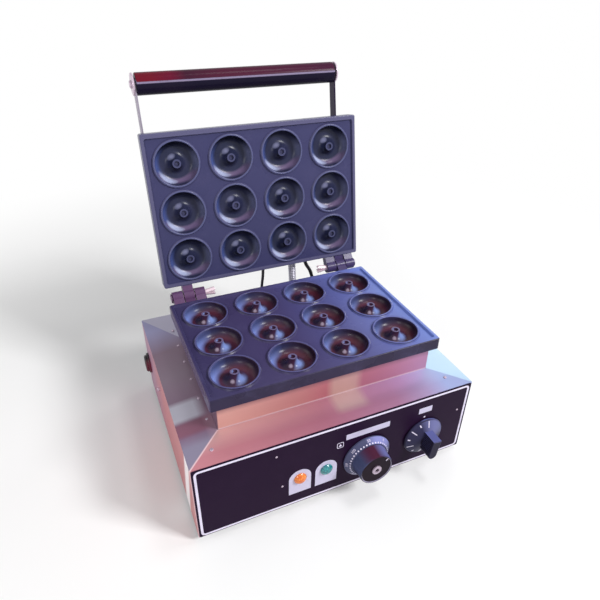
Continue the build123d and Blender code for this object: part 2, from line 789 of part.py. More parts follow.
def make_heat_shield():
    """The tray under the lower pad."""
    x = pad_half_x + sheet_gap
    y = pad_half_y + sheet_gap
    tray = box(-x - sheet, x + sheet, -y - sheet, y + sheet, z_shield - sheet, z_shield + shield_lip)
    tray -= box(-x, x, -y, y, z_shield, z_shield + 2 * shield_lip)
    hole = Pos(0, 0, z_shield) * Cylinder(bolt_radius + hole_play, 4 * sheet)
    return tray - [Pos(*spot) * hole for spot in bolt_spots]


def make_clamp_bolts():
    """Bolts from under the heat shield into the lower plate."""
    low = z_shield - sheet
    bolts = []
    for x, y in bolt_spots:
        head = extrude(Pos(x, y, low - bolt_head) * RegularPolygon(bolt_head_radius, 6), bolt_head)
        bolts.append(head + rod((x, y, low), (x, y, z_seat + bolt_grip - blind_room), bolt_radius))
    return group(bolts)


def make_standoffs():
    """Shouldered standoffs from the upper plate to the inside of the lid cover."""
    shoulder = 2 * z_hinge - z_pad
    top = z_lid_top - sheet
    parts = []
    for x, y in bolt_spots:
        standoff = rod((x, y, shoulder), (x, y, top), standoff_radius)
        standoff += rod((x, y, z_lid_back - bolt_grip + blind_room), (x, y, shoulder), bolt_radius)
        standoff -= Pos(x, y, top) * screw_hole(screw_length + blind_room, screw_radius + thread_play)
        parts.append(opened(standoff))
    return group(parts)


# Lid cover and handle

def make_lid_cover():
    """The folded pan over the upper plate's back."""
    depth = lid_rear - lid_front
    middle = (lid_front + lid_rear) / 2
    pan = Pos(0, middle, z_lid_back + cover_height / 2) * Box(2 * cover_half, depth, cover_height)
    inside = Pos(0, middle, z_lid_back + (cover_height - sheet) / 2)
    inside *= Box(2 * (cover_half - sheet), depth - 2 * sheet, cover_height - sheet)
    pan = fillet(pan.edges().group_by(Axis.Z)[-1], cover_round)
    pan -= fillet(inside.edges().group_by(Axis.Z)[-1], max(cover_round - sheet, sheet / 2))
    pan -= [Pos(x, y, z_lid_top) * screw_hole(2 * sheet) for x, y in bolt_spots]
    pan -= [place * screw_hole(screw_length) for place in arm_screw_places(cover_half)]
    cover = opened(pan)
    cover -= facing(conduit_entry, entry_out) * Cylinder(conduit_radius + hole_play, 4 * sheet)
    return cover - grommet_holes(lid_entry_places)


def arm_screw_places(x):
    """The handle arms' screws on the shut lid, seats at plus and minus x."""
    places = []
    for side in (-1, 1):
        for reach in arm_screw_reach:
            places.append(facing((side * x, lid_front + reach, bar_z), (side, 0, 0), (0, 1, 0)))
    return places


def make_handle_arm(side):
    """A flat arm from the cover's side to the handle's end."""
    outline = Pos((bar_y + arm_tail_y) / 2, bar_z) * Rectangle(arm_tail_y - bar_y, arm_width)
    outline += Pos(bar_y, bar_z) * Circle(arm_width / 2)
    outline = fillet(outline.vertices().group_by(Axis.X)[-1], arm_width / 4)
    start = cover_half if side > 0 else -arm_outer
    arm = extrude(Plane.YZ.offset(start) * outline, arm_thickness)
    arm -= [place * screw_hole(screw_length) for place in arm_screw_places(cover_half)]
    arm -= rod((-2 * arm_outer, bar_y, bar_z), (2 * arm_outer, bar_y, bar_z), rod_radius + rod_play)
    return opened(arm)


def make_handle_grip():
    """The moulded grip, a thick tube with rounded ends."""
    half = cover_half - grip_play
    grip = rod((-half, bar_y, bar_z), (half, bar_y, bar_z), grip_radius)
    grip = fillet(grip.edges().filter_by(GeomType.CIRCLE), grip_round)
    return opened(grip - rod((-half, bar_y, bar_z), (half, bar_y, bar_z), rod_radius + rod_play))


def make_handle_rod():
    """The tie rod through arms and grip."""
    end = arm_outer + end_cap + end_nut_seat
    return opened(rod((-end, bar_y, bar_z), (end, bar_y, bar_z), rod_radius))


def on_handle_ends(piece, away):
    """A piece set on both ends of the bar's axis, away from the arms' outer faces."""
    places = [facing((side * (arm_outer + away), bar_y, bar_z), (side, 0, 0), (0, 1, 0)) for side in (-1, 1)]
    return group(opened(place * piece) for place in places)


def make_handle_caps():
    """Discs as wide as the grip, outside the arms."""
    cap = extrude(Circle(grip_radius), end_cap)
    cap = fillet(cap.edges().group_by(Axis.Z)[-1], end_cap_round)
    return on_handle_ends(cap - Cylinder(rod_radius + rod_play, 4 * end_cap), 0)


def make_handle_nuts():
    """Low domed nuts on the rod's ends."""
    nut = extrude(Circle(end_nut_radius), end_nut)
    nut = fillet(nut.edges().group_by(Axis.Z)[-1], end_nut * head_round)
    nut -= Cylinder(rod_radius + rod_play / 2, 2 * (end_nut_seat + thread_play))
    return on_handle_ends(nut, end_cap)


# Controls

def make_control_body(x, rise):
    """A control's housing behind the panel, with the boss that guides its spindle."""
    place = panel_place(x, rise, base_front + sheet)
    body = place * Pos(0, 0, -control_depth / 2) * Box(control_size, control_size, control_depth)
    body = fillet(body.edges().filter_by(Axis.Y), 2 * sheet)
    body += place * Pos(0, 0, (sheet + overlay) / 2) * Cylinder(boss_radius, sheet + overlay)
    body -= place * Cylinder(spindle_radius + spindle_play, 2 * spindle_root)
    seats = [panel_place(x, rise + side * control_screw_offset) for side in (-1, 1)]
    return body - [seat * screw_hole(screw_length + blind_room, screw_radius + thread_play) for seat in seats]


def make_spindle(x, rise):
    """The shaft between a control and its knob."""
    start = base_front + sheet + spindle_root - blind_room
    end = panel_face - knob_clearance - spindle_seat
    return rod((x, start, z_bottom + rise), (x, end, z_bottom + rise), spindle_radius)


def knob_bore(place):
    """The knob's blind hole for its spindle."""
    return place * Cylinder(spindle_radius + spindle_play, 2 * (knob_clearance + spindle_seat + spindle_play))


def make_temperature_dial():
    """The skirt that carries the scale, its face slightly coned."""
    low = knob_clearance
    bore = spindle_radius + spindle_play
    profile = ((bore, low), (dial_radius, low), (dial_radius, low + dial_rim),
               (dial_face_radius, low + dial_thickness), (bore, low + dial_thickness))
    return turned(profile, control_places()[0])


def make_temperature_knob():
    """The knob: a tapered body with a rimmed, dished face."""
    base = knob_clearance + dial_thickness
    face = knob_depth - knob_recess
    dish = knob_radius - knob_edge
    profile = ((0, base), (knob_base_radius, base), (knob_radius, knob_depth - knob_edge),
               (knob_radius - knob_edge / 2, knob_depth), (dish, knob_depth), (dish - knob_recess, face), (0, face))
    place = control_places()[0]
    return turned(profile, place) - knob_bore(place)


def make_knob_ring():
    """The bright ring in the middle of the knob's face."""
    low = knob_depth - knob_recess
    top = low + ring_height
    profile = ((ring_bore, low), (ring_radius, low), (ring_radius, top - ring_bevel),
               (ring_radius - ring_bevel, top), (ring_bore, top))
    return turned(profile, control_places()[0])


def make_timer_knob():
    """The timer's coned skirt with a bar to grip, flat at its top end and round at its foot."""
    low = knob_clearance
    hub = low + timer_rim + timer_cone
    profile = ((0, low), (timer_radius, low), (timer_radius, low + timer_rim - timer_bevel),
               (timer_radius - timer_bevel, low + timer_rim), (timer_hub_radius, hub), (0, hub))
    place = control_places()[1] * Rot(0, 0, -timer_rest)
    half = grip_bar_width / 2
    round_y = half - grip_bar_foot
    section = make_face([
        Polyline((-half, round_y), (-half, grip_bar_top), (half, grip_bar_top), (half, round_y)),
        ThreePointArc((half, round_y), (0, -grip_bar_foot), (-half, round_y))])
    bar = extrude(Pos(0, 0, low) * section, timer_depth - low)
    bar = fillet(bar.edges().group_by(Axis.Z)[-1], grip_bar_round)
    groove_length = timer_depth - 2 * (low + timer_rim)
    groove = Pos(0, 0, timer_depth / 2) * Box(2 * groove_depth, groove_width, groove_length)
    for side in (-half, half):
        for step in range(groove_count):
            bar -= Pos(side, grip_bar_top - (step + 1) * groove_pitch) * groove
    return turned(profile, place) + place * bar - knob_bore(place)


def make_control_screws():
    """Thin-headed screws of the controls and the terminal block."""
    return group(place * low_screw() for place in control_screw_places() + block_screw_places())


def make_lens(place):
    """A lamp's domed lens on the overlay."""
    rise = lens_height - lens_flange
    ball = (lens_radius ** 2 + rise ** 2) / (2 * rise)
    flange = Pos(0, 0, lens_flange / 2) * Cylinder(lens_radius, lens_flange)
    dome = Pos(0, 0, lens_height - ball) * Sphere(ball)
    dome &= Pos(0, 0, lens_flange + rise / 2) * Cylinder(2 * lens_radius, rise)
    return place * (flange + dome)


def make_lamp_bodies():
    """The lamps' housings behind their lenses."""
    body = Pos(0, 0, -lamp_length / 2) * Cylinder(lamp_radius, lamp_length)
    return group(place * body for place in lamp_places())


def make_lamp_nuts():
    """Nuts that hold the lamps from inside."""
    nut = extrude(RegularPolygon(lamp_nut_radius, 6) - Circle(lamp_radius + thread_play), lamp_nut)
    return group(place * Pos(0, 0, -overlay - sheet - lamp_nut) * nut for place in lamp_places())


# Sensor, wiring and gland

def block_way_x(way):
    """A terminal's place along the block."""
    return -block_left + block_length / 2 + (way - (block_ways - 1) / 2) * block_way_pitch


def block_screw_places():
    """The terminal block's screws from under the bottom plate."""
    y = block_front_y + block_width / 2
    xs = (-block_left + block_way_pitch / 2, -block_left + block_length - block_way_pitch / 2)
    return [facing((x, y, z_bottom), (0, 0, -1)) for x in xs]


def make_terminal_block():
    """The terminal block on the bottom plate."""
    block = box(-block_left, -block_left + block_length, block_front_y, block_front_y + block_width,
                tray_top, tray_top + block_height)
    for way in range(block_ways):
        spot = Pos(block_way_x(way), block_front_y + block_width / 2, tray_top + block_height)
        block -= spot * Cylinder(block_way_pitch / 4, block_height / 2)
    thread = screw_hole(screw_length + blind_room, screw_radius + thread_play)
    return block - [place * thread for place in block_screw_places()]


def make_thermostat_capillary():
    """The sensing bulb under the lower plate and its thin tube to the thermostat."""
    z_bulb = z_seat - heater_seat - bulb_radius
    back = base_front + sheet + control_depth
    exit_x = dial_x + control_size / 4
    exit_z = z_bottom + dial_rise + control_size / 4
    low = z_edge - skirt_height
    front = -bulb_length / 2
    points = [(bulb_x, front + tail_bend, z_bulb), (bulb_x, front - 2 * tail_bend, z_bulb),
              (bulb_x, front - 2 * tail_bend, low), (exit_x, front - 2 * tail_bend, exit_z),
              (exit_x, back + wire_end_gap, exit_z)]
    bulb = rod((bulb_x, front, z_bulb), (bulb_x, -front, z_bulb), bulb_radius)
    return tube(points, tube_radius, tail_bend) + bulb


def make_wiring():
    """Leads from the terminal block to the heater, the lamps and the thermostat, and on to the timer."""
    z_way = tray_top + block_height / 2
    start = block_front_y - wire_end_gap
    turn_y = -control_depth
    bend = 4 * tube_radius + 2 * tail_bend
    tails = [1.5 * heater_spacing, -1.5 * heater_spacing]
    wires = []
    for way, y in enumerate(tails):
        x = block_way_x(way)
        top = z_heater - heater_tail - wire_end_gap
        points = [(x, start, z_way), (x, y - tail_bend, z_way), (-heater_tail_x, y, z_way + 3 * tail_bend),
                  (-heater_tail_x, y, top)]
        wires.append(tube(points, wire_radius, tail_bend))
    targets = [(amber_x, lamp_rise, panel_face + lamp_length), (green_x, lamp_rise, panel_face + lamp_length),
               (dial_x, dial_rise, base_front + sheet + control_depth)]
    for way, (x, rise, back) in enumerate(targets):
        from_x = block_way_x(way + len(tails))
        points = [(from_x, start, z_way), (from_x, turn_y, z_way), (x, back + bend, z_bottom + rise),
                  (x, back + wire_end_gap, z_bottom + rise)]
        wires.append(tube(points, wire_radius, tail_bend))
    back = base_front + sheet + control_depth + wire_end_gap
    low = z_bottom - control_size / 4
    points = [(dial_x, back, low + dial_rise), (dial_x, back + bend, low + dial_rise),
              (timer_x, back + bend, low + timer_rise), (timer_x, back, low + timer_rise)]
    wires.append(tube(points, wire_radius, tail_bend))
    return group(wires)


def make_cord_gland():
    """The mains cord's gland in the left wall, its bore empty."""
    end = -sheet - gland_thread
    profile = ((gland_bore, end), (gland_thread_radius, end), (gland_thread_radius, 0), (gland_flange_radius, 0),
               (gland_flange_radius, gland_flange - gland_chamfer),
               (gland_flange_radius - gland_chamfer, gland_flange), (gland_dome_radius, gland_flange),
               (gland_dome_radius, gland_reach - gland_nose), (gland_tip_radius, gland_reach),
               (gland_bore, gland_reach))
    return turned(profile, gland_place())


def make_gland_nut():
    """The gland's nut inside the wall."""
    outline = RegularPolygon(gland_nut_radius, 6) - Circle(gland_thread_radius + thread_play)
    nut = extrude(outline, gland_nut_thickness)
    return gland_place() * Pos(0, 0, -sheet - gland_nut_thickness) * nut


# Conduit and leads

def conduit_path():
    """The conduit's line from the slope's fitting to the lid's fitting."""
    foot = conduit_foot + rear_up * (fitting_height - fitting_lip)
    head = conduit_entry + entry_out * (fitting_height - fitting_lip)
    return FilletPolyline(foot, conduit_knee, head, radius=conduit_bend)


def make_conduit():
    """The ribbed steel conduit with its bore."""
    path = conduit_path()
    ribs = int(path.length / conduit_pitch)
    sections = []
    for rib in range(ribs):
        for share, radius in ((0.0, 0), (0.2, 1), (0.6, 1), (0.8, 0)):
            along = (rib + share) / ribs
            place = Plane(path @ along, x_dir=(1, 0, 0), z_dir=path % along)
            sections.append(place * Circle(conduit_radius - conduit_groove + radius * conduit_groove))
    sections.append(Plane(path @ 1, x_dir=(1, 0, 0), z_dir=path % 1) * Circle(conduit_radius - conduit_groove))
    bore = sweep(Plane(path @ 0, x_dir=(1, 0, 0), z_dir=path % 0) * Circle(conduit_bore), path=path)
    return loft(sections, ruled=True) - bore


def make_fitting(place):
    """A round fitting that seats on a sheet and takes the conduit's end."""
    seat = fitting_height - fitting_lip
    bore = conduit_radius + grommet_play
    end = -3 * sheet
    profile = ((conduit_bore, end), (conduit_radius, end), (conduit_radius, 0), (fitting_radius, 0),
               (fitting_radius, seat), (fitting_radius - fitting_lip, fitting_height),
               (bore, fitting_height), (bore, seat), (conduit_bore, seat))
    return turned(profile, place)


def make_grommet(place, lead_radius):
    """A rubber grommet round a lead where it passes through a sheet."""
    bore = lead_radius + grommet_play
    end = -sheet - grommet_flange
    profile = ((bore, end), (grommet_radius, end), (grommet_radius, -sheet), (grommet_neck_radius, -sheet),
               (grommet_neck_radius, 0), (grommet_radius, 0), (grommet_radius - grommet_flange / 2, grommet_flange),
               (bore, grommet_flange))
    return turned(profile, place)


def make_grommets(places):
    """The earth lead's grommet and the sensor lead's grommet in one sheet."""
    radii = (earth_lead_radius, sensor_lead_radius)
    return group(make_grommet(place, radius) for place, radius in zip(places, radii))


def lead_bends(points, least):
    """Each corner's arc, as large as its two runs allow."""
    bends = []
    for before, corner, after in zip(points, points[1:], points[2:]):
        turn = (corner - before).get_angle(after - corner)
        run = min((corner - before).length, (after - corner).length)
        bends.append(max(least, bend_share * run / tan(radians(turn / 2))))
    return bends


def make_lead(name, ends, radius, drop, rise):
    """A black lead: straight out of the lid, across, and straight down into the casing."""
    head, foot = ends
    points = [head - entry_out * lead_tail, head + entry_out * drop]
    points += [foot + rear_up * rise, foot - rear_up * lead_tail]
    bends = lead_bends(points, least_bend * radius)
    print(name, "bend radii", [round(bend, 1) for bend in bends])
    return tube(points, radius, bends)


# Assembly

lower_place = Pos(0, 0, z_plane)
conduit_seats = [facing(conduit_foot, rear_up), facing(conduit_entry, entry_out)]
heater = make_heater()
heater_clamp = make_heater_clamp()

nodes = {
    "body_wrap": make_body_wrap(),
    "top_cover": make_top_cover(),
    "plate_collar": make_plate_collar(),
    "collar_rivets": group(place * rivet(rivet_radius, rivet_head_radius, 2 * sheet) for place in rivet_places),
    "bottom_plate": make_bottom_plate(),
    "front_panel": make_front_panel(),
    "panel_overlay": make_panel_overlay(),
    "panel_rivets": group(place * rivet(panel_rivet_radius, panel_rivet_head_radius, overlay + sheet)
                          for place in panel_rivet_places()),
    "support_pillars": make_support_pillars(),
    "rubber_feet": make_rubber_feet(),
    "foot_screws": make_foot_screws(),
    "cover_screws": group(place * pan_screw(head_radius=cover_head_radius) for place in pillar_places),
    "wall_screws": make_wall_screws(),
    "lower_plate": lower_place * make_casting(True),
    "plate_screws": group(facing((x, y, z_seat - sheet), (0, 0, -1)) * pan_screw(plate_screw_grip)
                          for x, y in plate_screw_spots),
    "lower_heater": heater,
    "lower_heater_clamp": heater_clamp,
    "lower_insulation": make_pad(bolt_radius + hole_play),
    "lower_heat_shield": make_heat_shield(),
    "lower_clamp_bolts": make_clamp_bolts(),
    "hinge_pins": make_hinge_pins(),
    "thermostat_body": make_control_body(dial_x, dial_rise),
    "thermostat_capillary": make_thermostat_capillary(),
    "timer_body": make_control_body(timer_x, timer_rise),
    "control_screws": make_control_screws(),
    "amber_lens": make_lens(lamp_places()[0]),
    "green_lens": make_lens(lamp_places()[1]),
    "lamp_bodies": make_lamp_bodies(),
    "lamp_nuts": make_lamp_nuts(),
    "terminal_block": make_terminal_block(),
    "wiring": make_wiring(),
    "cord_gland": make_cord_gland(),
    "gland_nut": make_gland_nut(),
    "conduit": make_conduit(),
    "conduit_base_fitting": make_fitting(conduit_seats[0]),
    "earth_lead": make_lead("earth lead", earth_ends, earth_lead_radius, earth_lead_drop, earth_lead_rise),
    "sensor_lead": make_lead("sensor lead", sensor_ends, sensor_lead_radius, sensor_lead_drop, sensor_lead_rise),
    "base_grommets": make_grommets(base_entry_places),
    "upper_plate": opened(turned_over(lower_place * make_casting(False))),
    "upper_heater": opened(turned_over(heater)),
    "upper_heater_clamp": opened(turned_over(heater_clamp)),
    "upper_insulation": opened(turned_over(make_pad(standoff_radius + hole_play))),
    "upper_standoffs": make_standoffs(),
    "lid_cover": make_lid_cover(),
    "lid_cover_screws": group(opened(Pos(x, y, z_lid_top) * pan_screw()) for x, y in bolt_spots),
    "handle_arm_left": make_handle_arm(-1),
    "handle_arm_right": make_handle_arm(1),
    "arm_screws": group(opened(place * pan_screw()) for place in arm_screw_places(arm_outer)),
    "handle_grip": make_handle_grip(),
    "handle_rod": make_handle_rod(),
    "handle_caps": make_handle_caps(),
    "handle_nuts": make_handle_nuts(),
    "conduit_lid_fitting": make_fitting(conduit_seats[1]),
    "lid_grommets": make_grommets(lid_entry_places),
    "temperature_dial": make_temperature_dial(),
    "temperature_knob": make_temperature_knob(),
    "knob_ring": make_knob_ring(),
    "thermostat_spindle": make_spindle(dial_x, dial_rise),
    "timer_knob": make_timer_knob(),
    "timer_spindle": make_spindle(timer_x, timer_rise),
}

# The origin: on the floor, under the middle of the whole object with its lid open
left_reach = half_width + gland_reach
right_reach = half_width
front_reach = panel_face - max(knob_depth, timer_depth)
rear_reach = opened_point(bar_y, bar_z)[0] + grip_radius
origin = Pos(-(right_reach - left_reach) / 2, -(front_reach + rear_reach) / 2, 0)

os.makedirs("parts", exist_ok=True)
for name, shape in nodes.items():
    export_step(origin * shape, f"parts/{name}.step")
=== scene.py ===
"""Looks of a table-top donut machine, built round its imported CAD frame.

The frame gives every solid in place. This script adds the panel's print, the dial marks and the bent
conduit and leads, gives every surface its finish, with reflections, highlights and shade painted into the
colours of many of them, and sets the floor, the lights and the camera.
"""

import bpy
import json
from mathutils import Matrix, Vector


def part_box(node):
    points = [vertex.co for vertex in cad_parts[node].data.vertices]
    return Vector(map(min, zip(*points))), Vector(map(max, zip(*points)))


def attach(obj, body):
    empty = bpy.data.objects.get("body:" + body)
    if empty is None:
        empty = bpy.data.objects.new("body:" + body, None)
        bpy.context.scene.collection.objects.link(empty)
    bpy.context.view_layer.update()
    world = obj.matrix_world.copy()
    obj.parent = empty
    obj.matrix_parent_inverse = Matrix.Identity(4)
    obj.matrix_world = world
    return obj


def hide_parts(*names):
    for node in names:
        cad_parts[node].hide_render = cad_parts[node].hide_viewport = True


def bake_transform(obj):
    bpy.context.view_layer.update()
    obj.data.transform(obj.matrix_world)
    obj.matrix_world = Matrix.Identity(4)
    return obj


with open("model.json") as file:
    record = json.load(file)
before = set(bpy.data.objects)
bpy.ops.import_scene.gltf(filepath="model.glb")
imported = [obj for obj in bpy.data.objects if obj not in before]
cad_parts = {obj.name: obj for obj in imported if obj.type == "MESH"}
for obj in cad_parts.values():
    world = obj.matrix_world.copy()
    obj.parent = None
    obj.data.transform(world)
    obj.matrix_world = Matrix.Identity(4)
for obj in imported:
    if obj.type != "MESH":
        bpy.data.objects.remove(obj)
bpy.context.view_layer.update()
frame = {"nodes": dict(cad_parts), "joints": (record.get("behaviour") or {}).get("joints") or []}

import json
import logging
import math
from dataclasses import dataclass, field
from enum import Enum
from typing import ClassVar, Iterable, NamedTuple, Sequence

import bmesh
import bpy
from mathutils import Matrix, Vector

log = logging.getLogger("donut_machine")

CONDUIT_SLOT = "conduit_steel"
LEAD_SLOT = "black_plastic"
MM = 0.001
Colour = tuple[float, float, float, float]
Point = tuple[float, float]
Direction = tuple[float, float, float]
Gradient = tuple[tuple[float, Colour], ...]
Socket = bpy.types.NodeSocket

WHITE: Colour = (1.0, 1.0, 1.0, 1.0)
BLACK: Colour = (0.0, 0.0, 0.0, 1.0)
LID_OPEN = math.radians(99.6)
RIGHT: Direction = (1.0, 0.0, 0.0)
LEFT: Direction = (-1.0, 0.0, 0.0)
REAR: Direction = (0.0, 1.0, 0.0)
FRONT: Direction = (0.0, -1.0, 0.0)
UP: Direction = (0.0, 0.0, 1.0)
LID_FACE: Direction = (0.0, -math.sin(LID_OPEN), -math.cos(LID_OPEN))
LID_UP: Direction = (0.0, -math.cos(LID_OPEN), math.sin(LID_OPEN))
LID_DOWN: Direction = (0.0, math.cos(LID_OPEN), -math.sin(LID_OPEN))
CAVITY_PITCH: Point = (68.0 * MM, 60.4 * MM)
CAVITY_COUNT: tuple[int, int] = (4, 3)
GRID_FROM_FRONT = 97.6 * MM
CAVITIES_OVER_BACK = 11.9 * MM


class Body(Enum):
    """The bodies of the frame that pieces ride on."""

    BASE = "base"
    LID = "lid"
    TEMPERATURE = "temperature_control"
    TIMER = "timer_control"


class Grain(Enum):
    """Which way the brushing of a steel sheet runs."""

    ALONG_X = (0.02, 1.0, 1.0)
    ALONG_Z = (1.0, 1.0, 0.02)


def paint(red: int, green: int, blue: int) -> Colour:
    """Turns a screen colour into the linear colour that a shader takes.

    Args:
        red: Red from 0 to 255.
        green: Green from 0 to 255.
        blue: Blue from 0 to 255.

    Returns:
        The linear colour with full alpha.
    """
    def linear(level: int) -> float:
        """Linear value of one channel."""
        share = level / 255
        return share / 12.92 if share <= 0.04045 else ((share + 0.055) / 1.055) ** 2.4

    return (linear(red), linear(green), linear(blue), 1.0)


def node_box(node: str) -> tuple[Vector, Vector]:
    """Lowest and highest corner of a node at rest."""
    low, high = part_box(node)
    return Vector(low), Vector(high)


def node_centre(node: str) -> Vector:
    """Middle of a node's box at rest."""
    low, high = node_box(node)
    return (low + high) / 2


def hinge_place() -> Vector:
    """The place of the lid's hinge."""
    hinge = next(joint for joint in frame["joints"] if joint["name"] == "lid_hinge")
    return Vector(hinge["pos_m"])


def grid_middle() -> Vector:
    """Middle of the lower plate's grid of cavities, in the plane that the cavities sink from."""
    low, _ = node_box("lower_plate")
    return Vector((node_centre("lower_plate").x, low.y + GRID_FROM_FRONT, low.z + CAVITIES_OVER_BACK))


class Graph:
    """A short way to add nodes and links to a shader tree."""

    MIX_COLOURS: ClassVar[tuple[int, int]] = (6, 7)
    MIX_RESULT: ClassVar[int] = 2

    def __init__(self, tree: bpy.types.NodeTree) -> None:
        """Keeps the tree that nodes are added to."""
        self.tree = tree

    def add(self, kind: str, **settings: object) -> bpy.types.Node:
        """Adds a node and sets its properties.

        Args:
            kind: The node's Blender type.
            settings: Properties of the node.

        Returns:
            The new node.
        """
        node = self.tree.nodes.new(kind)
        for name, value in settings.items():
            setattr(node, name, value)
        return node

    def feed(self, target: Socket, value: object) -> None:
        """Links a socket to a socket, or sets its default.

        Args:
            target: The input that takes the value.
            value: A socket or a plain value.
        """
        if isinstance(value, bpy.types.NodeSocket):
            self.tree.links.new(value, target)
        else:
            target.default_value = value

    def fill(self, node: bpy.types.Node, *values: object) -> bpy.types.Node:
        """Feeds a node's inputs in their order.

        Args:
            node: The node.
            values: Sockets or plain values for its first inputs.

        Returns:
            The same node.
        """
        for target, value in zip(node.inputs, values):
            self.feed(target, value)
        return node

    def place(self) -> Socket:
        """Where a surface point lies in the object's frame, in metres."""
        return self.add("ShaderNodeTexCoord").outputs["Object"]

    def math(self, operation: str, *values: object) -> Socket:
        """Adds a math node with its values in order."""
        return self.fill(self.add("ShaderNodeMath", operation=operation), *values).outputs[0]

    def vector(self, operation: str, *values: object) -> bpy.types.Node:
        """Adds a vector math node with its values in order."""
        return self.fill(self.add("ShaderNodeVectorMath", operation=operation), *values)

    def ramp(self, value: Socket, low: object, high: object, to_low: float = 0.0, to_high: float = 1.0,
             curve: str = "SMOOTHSTEP") -> Socket:
        """Maps a value from one range to another.

        Args:
            value: The value to map.
            low: Where the range starts.
            high: Where the range ends.
            to_low: Result at the start.
            to_high: Result at the end.
            curve: How the result runs between the ends.

        Returns:
            The mapped value's socket.
        """
        node = self.add("ShaderNodeMapRange", interpolation_type=curve)
        return self.fill(node, value, low, high, to_low, to_high).outputs[0]

    def mix(self, factor: object, first: object, second: object, blend: str = "MIX") -> Socket:
        """Mixes two colours.

        Args:
            factor: Share of the second colour.
            first: Colour or socket.
            second: Colour or socket.
            blend: The blend's Blender name.

        Returns:
            The mixed colour's socket.
        """
        node = self.fill(self.add("ShaderNodeMix", data_type="RGBA", blend_type=blend), factor)
        for index, colour in zip(self.MIX_COLOURS, (first, second)):
            self.feed(node.inputs[index], colour)
        return node.outputs[self.MIX_RESULT]

    def gradient(self, value: Socket, stops: Gradient) -> Socket:
        """Turns a value into the colour between the stops around it.

        Args:
            value: A value from 0 to 1.
            stops: Places from 0 to 1 with their colours, in order.

        Returns:
            The colour's socket.
        """
        node = self.add("ShaderNodeValToRGB")
        elements = node.color_ramp.elements
        while len(elements) < len(stops):
            elements.new(1.0)
        for element, (place, colour) in zip(elements, stops):
            element.position = place
            element.color = colour
        return self.fill(node, value).outputs[0]

    def shaded(self, colour: object, shade: Socket) -> Socket:
        """Multiplies a colour by a grey value."""
        grey = self.fill(self.add("ShaderNodeCombineColor"), shade, shade, shade)
        return self.mix(1.0, colour, grey.outputs[0], "MULTIPLY")

    def noise(self, vector: Socket, scale: object, detail: float = 3.0, roughness: float = 0.5) -> Socket:
        """Adds a noise texture.

        Args:
            vector: Where the noise is read.
            scale: How fine it is.
            detail: How many finer layers lie over it.
            roughness: How strong those layers are.

        Returns:
            The noise's value.
        """
        node = self.add("ShaderNodeTexNoise")
        inputs = {"Vector": vector, "Scale": scale, "Detail": detail, "Roughness": roughness}
        for name, value in inputs.items():
            self.feed(node.inputs[name], value)
        return node.outputs["Fac"]


@dataclass(frozen=True)
class GroupSocket:
    """One named input or output of a node group."""

    name: str
    kind: str = "NodeSocketFloat"
    default: object = None


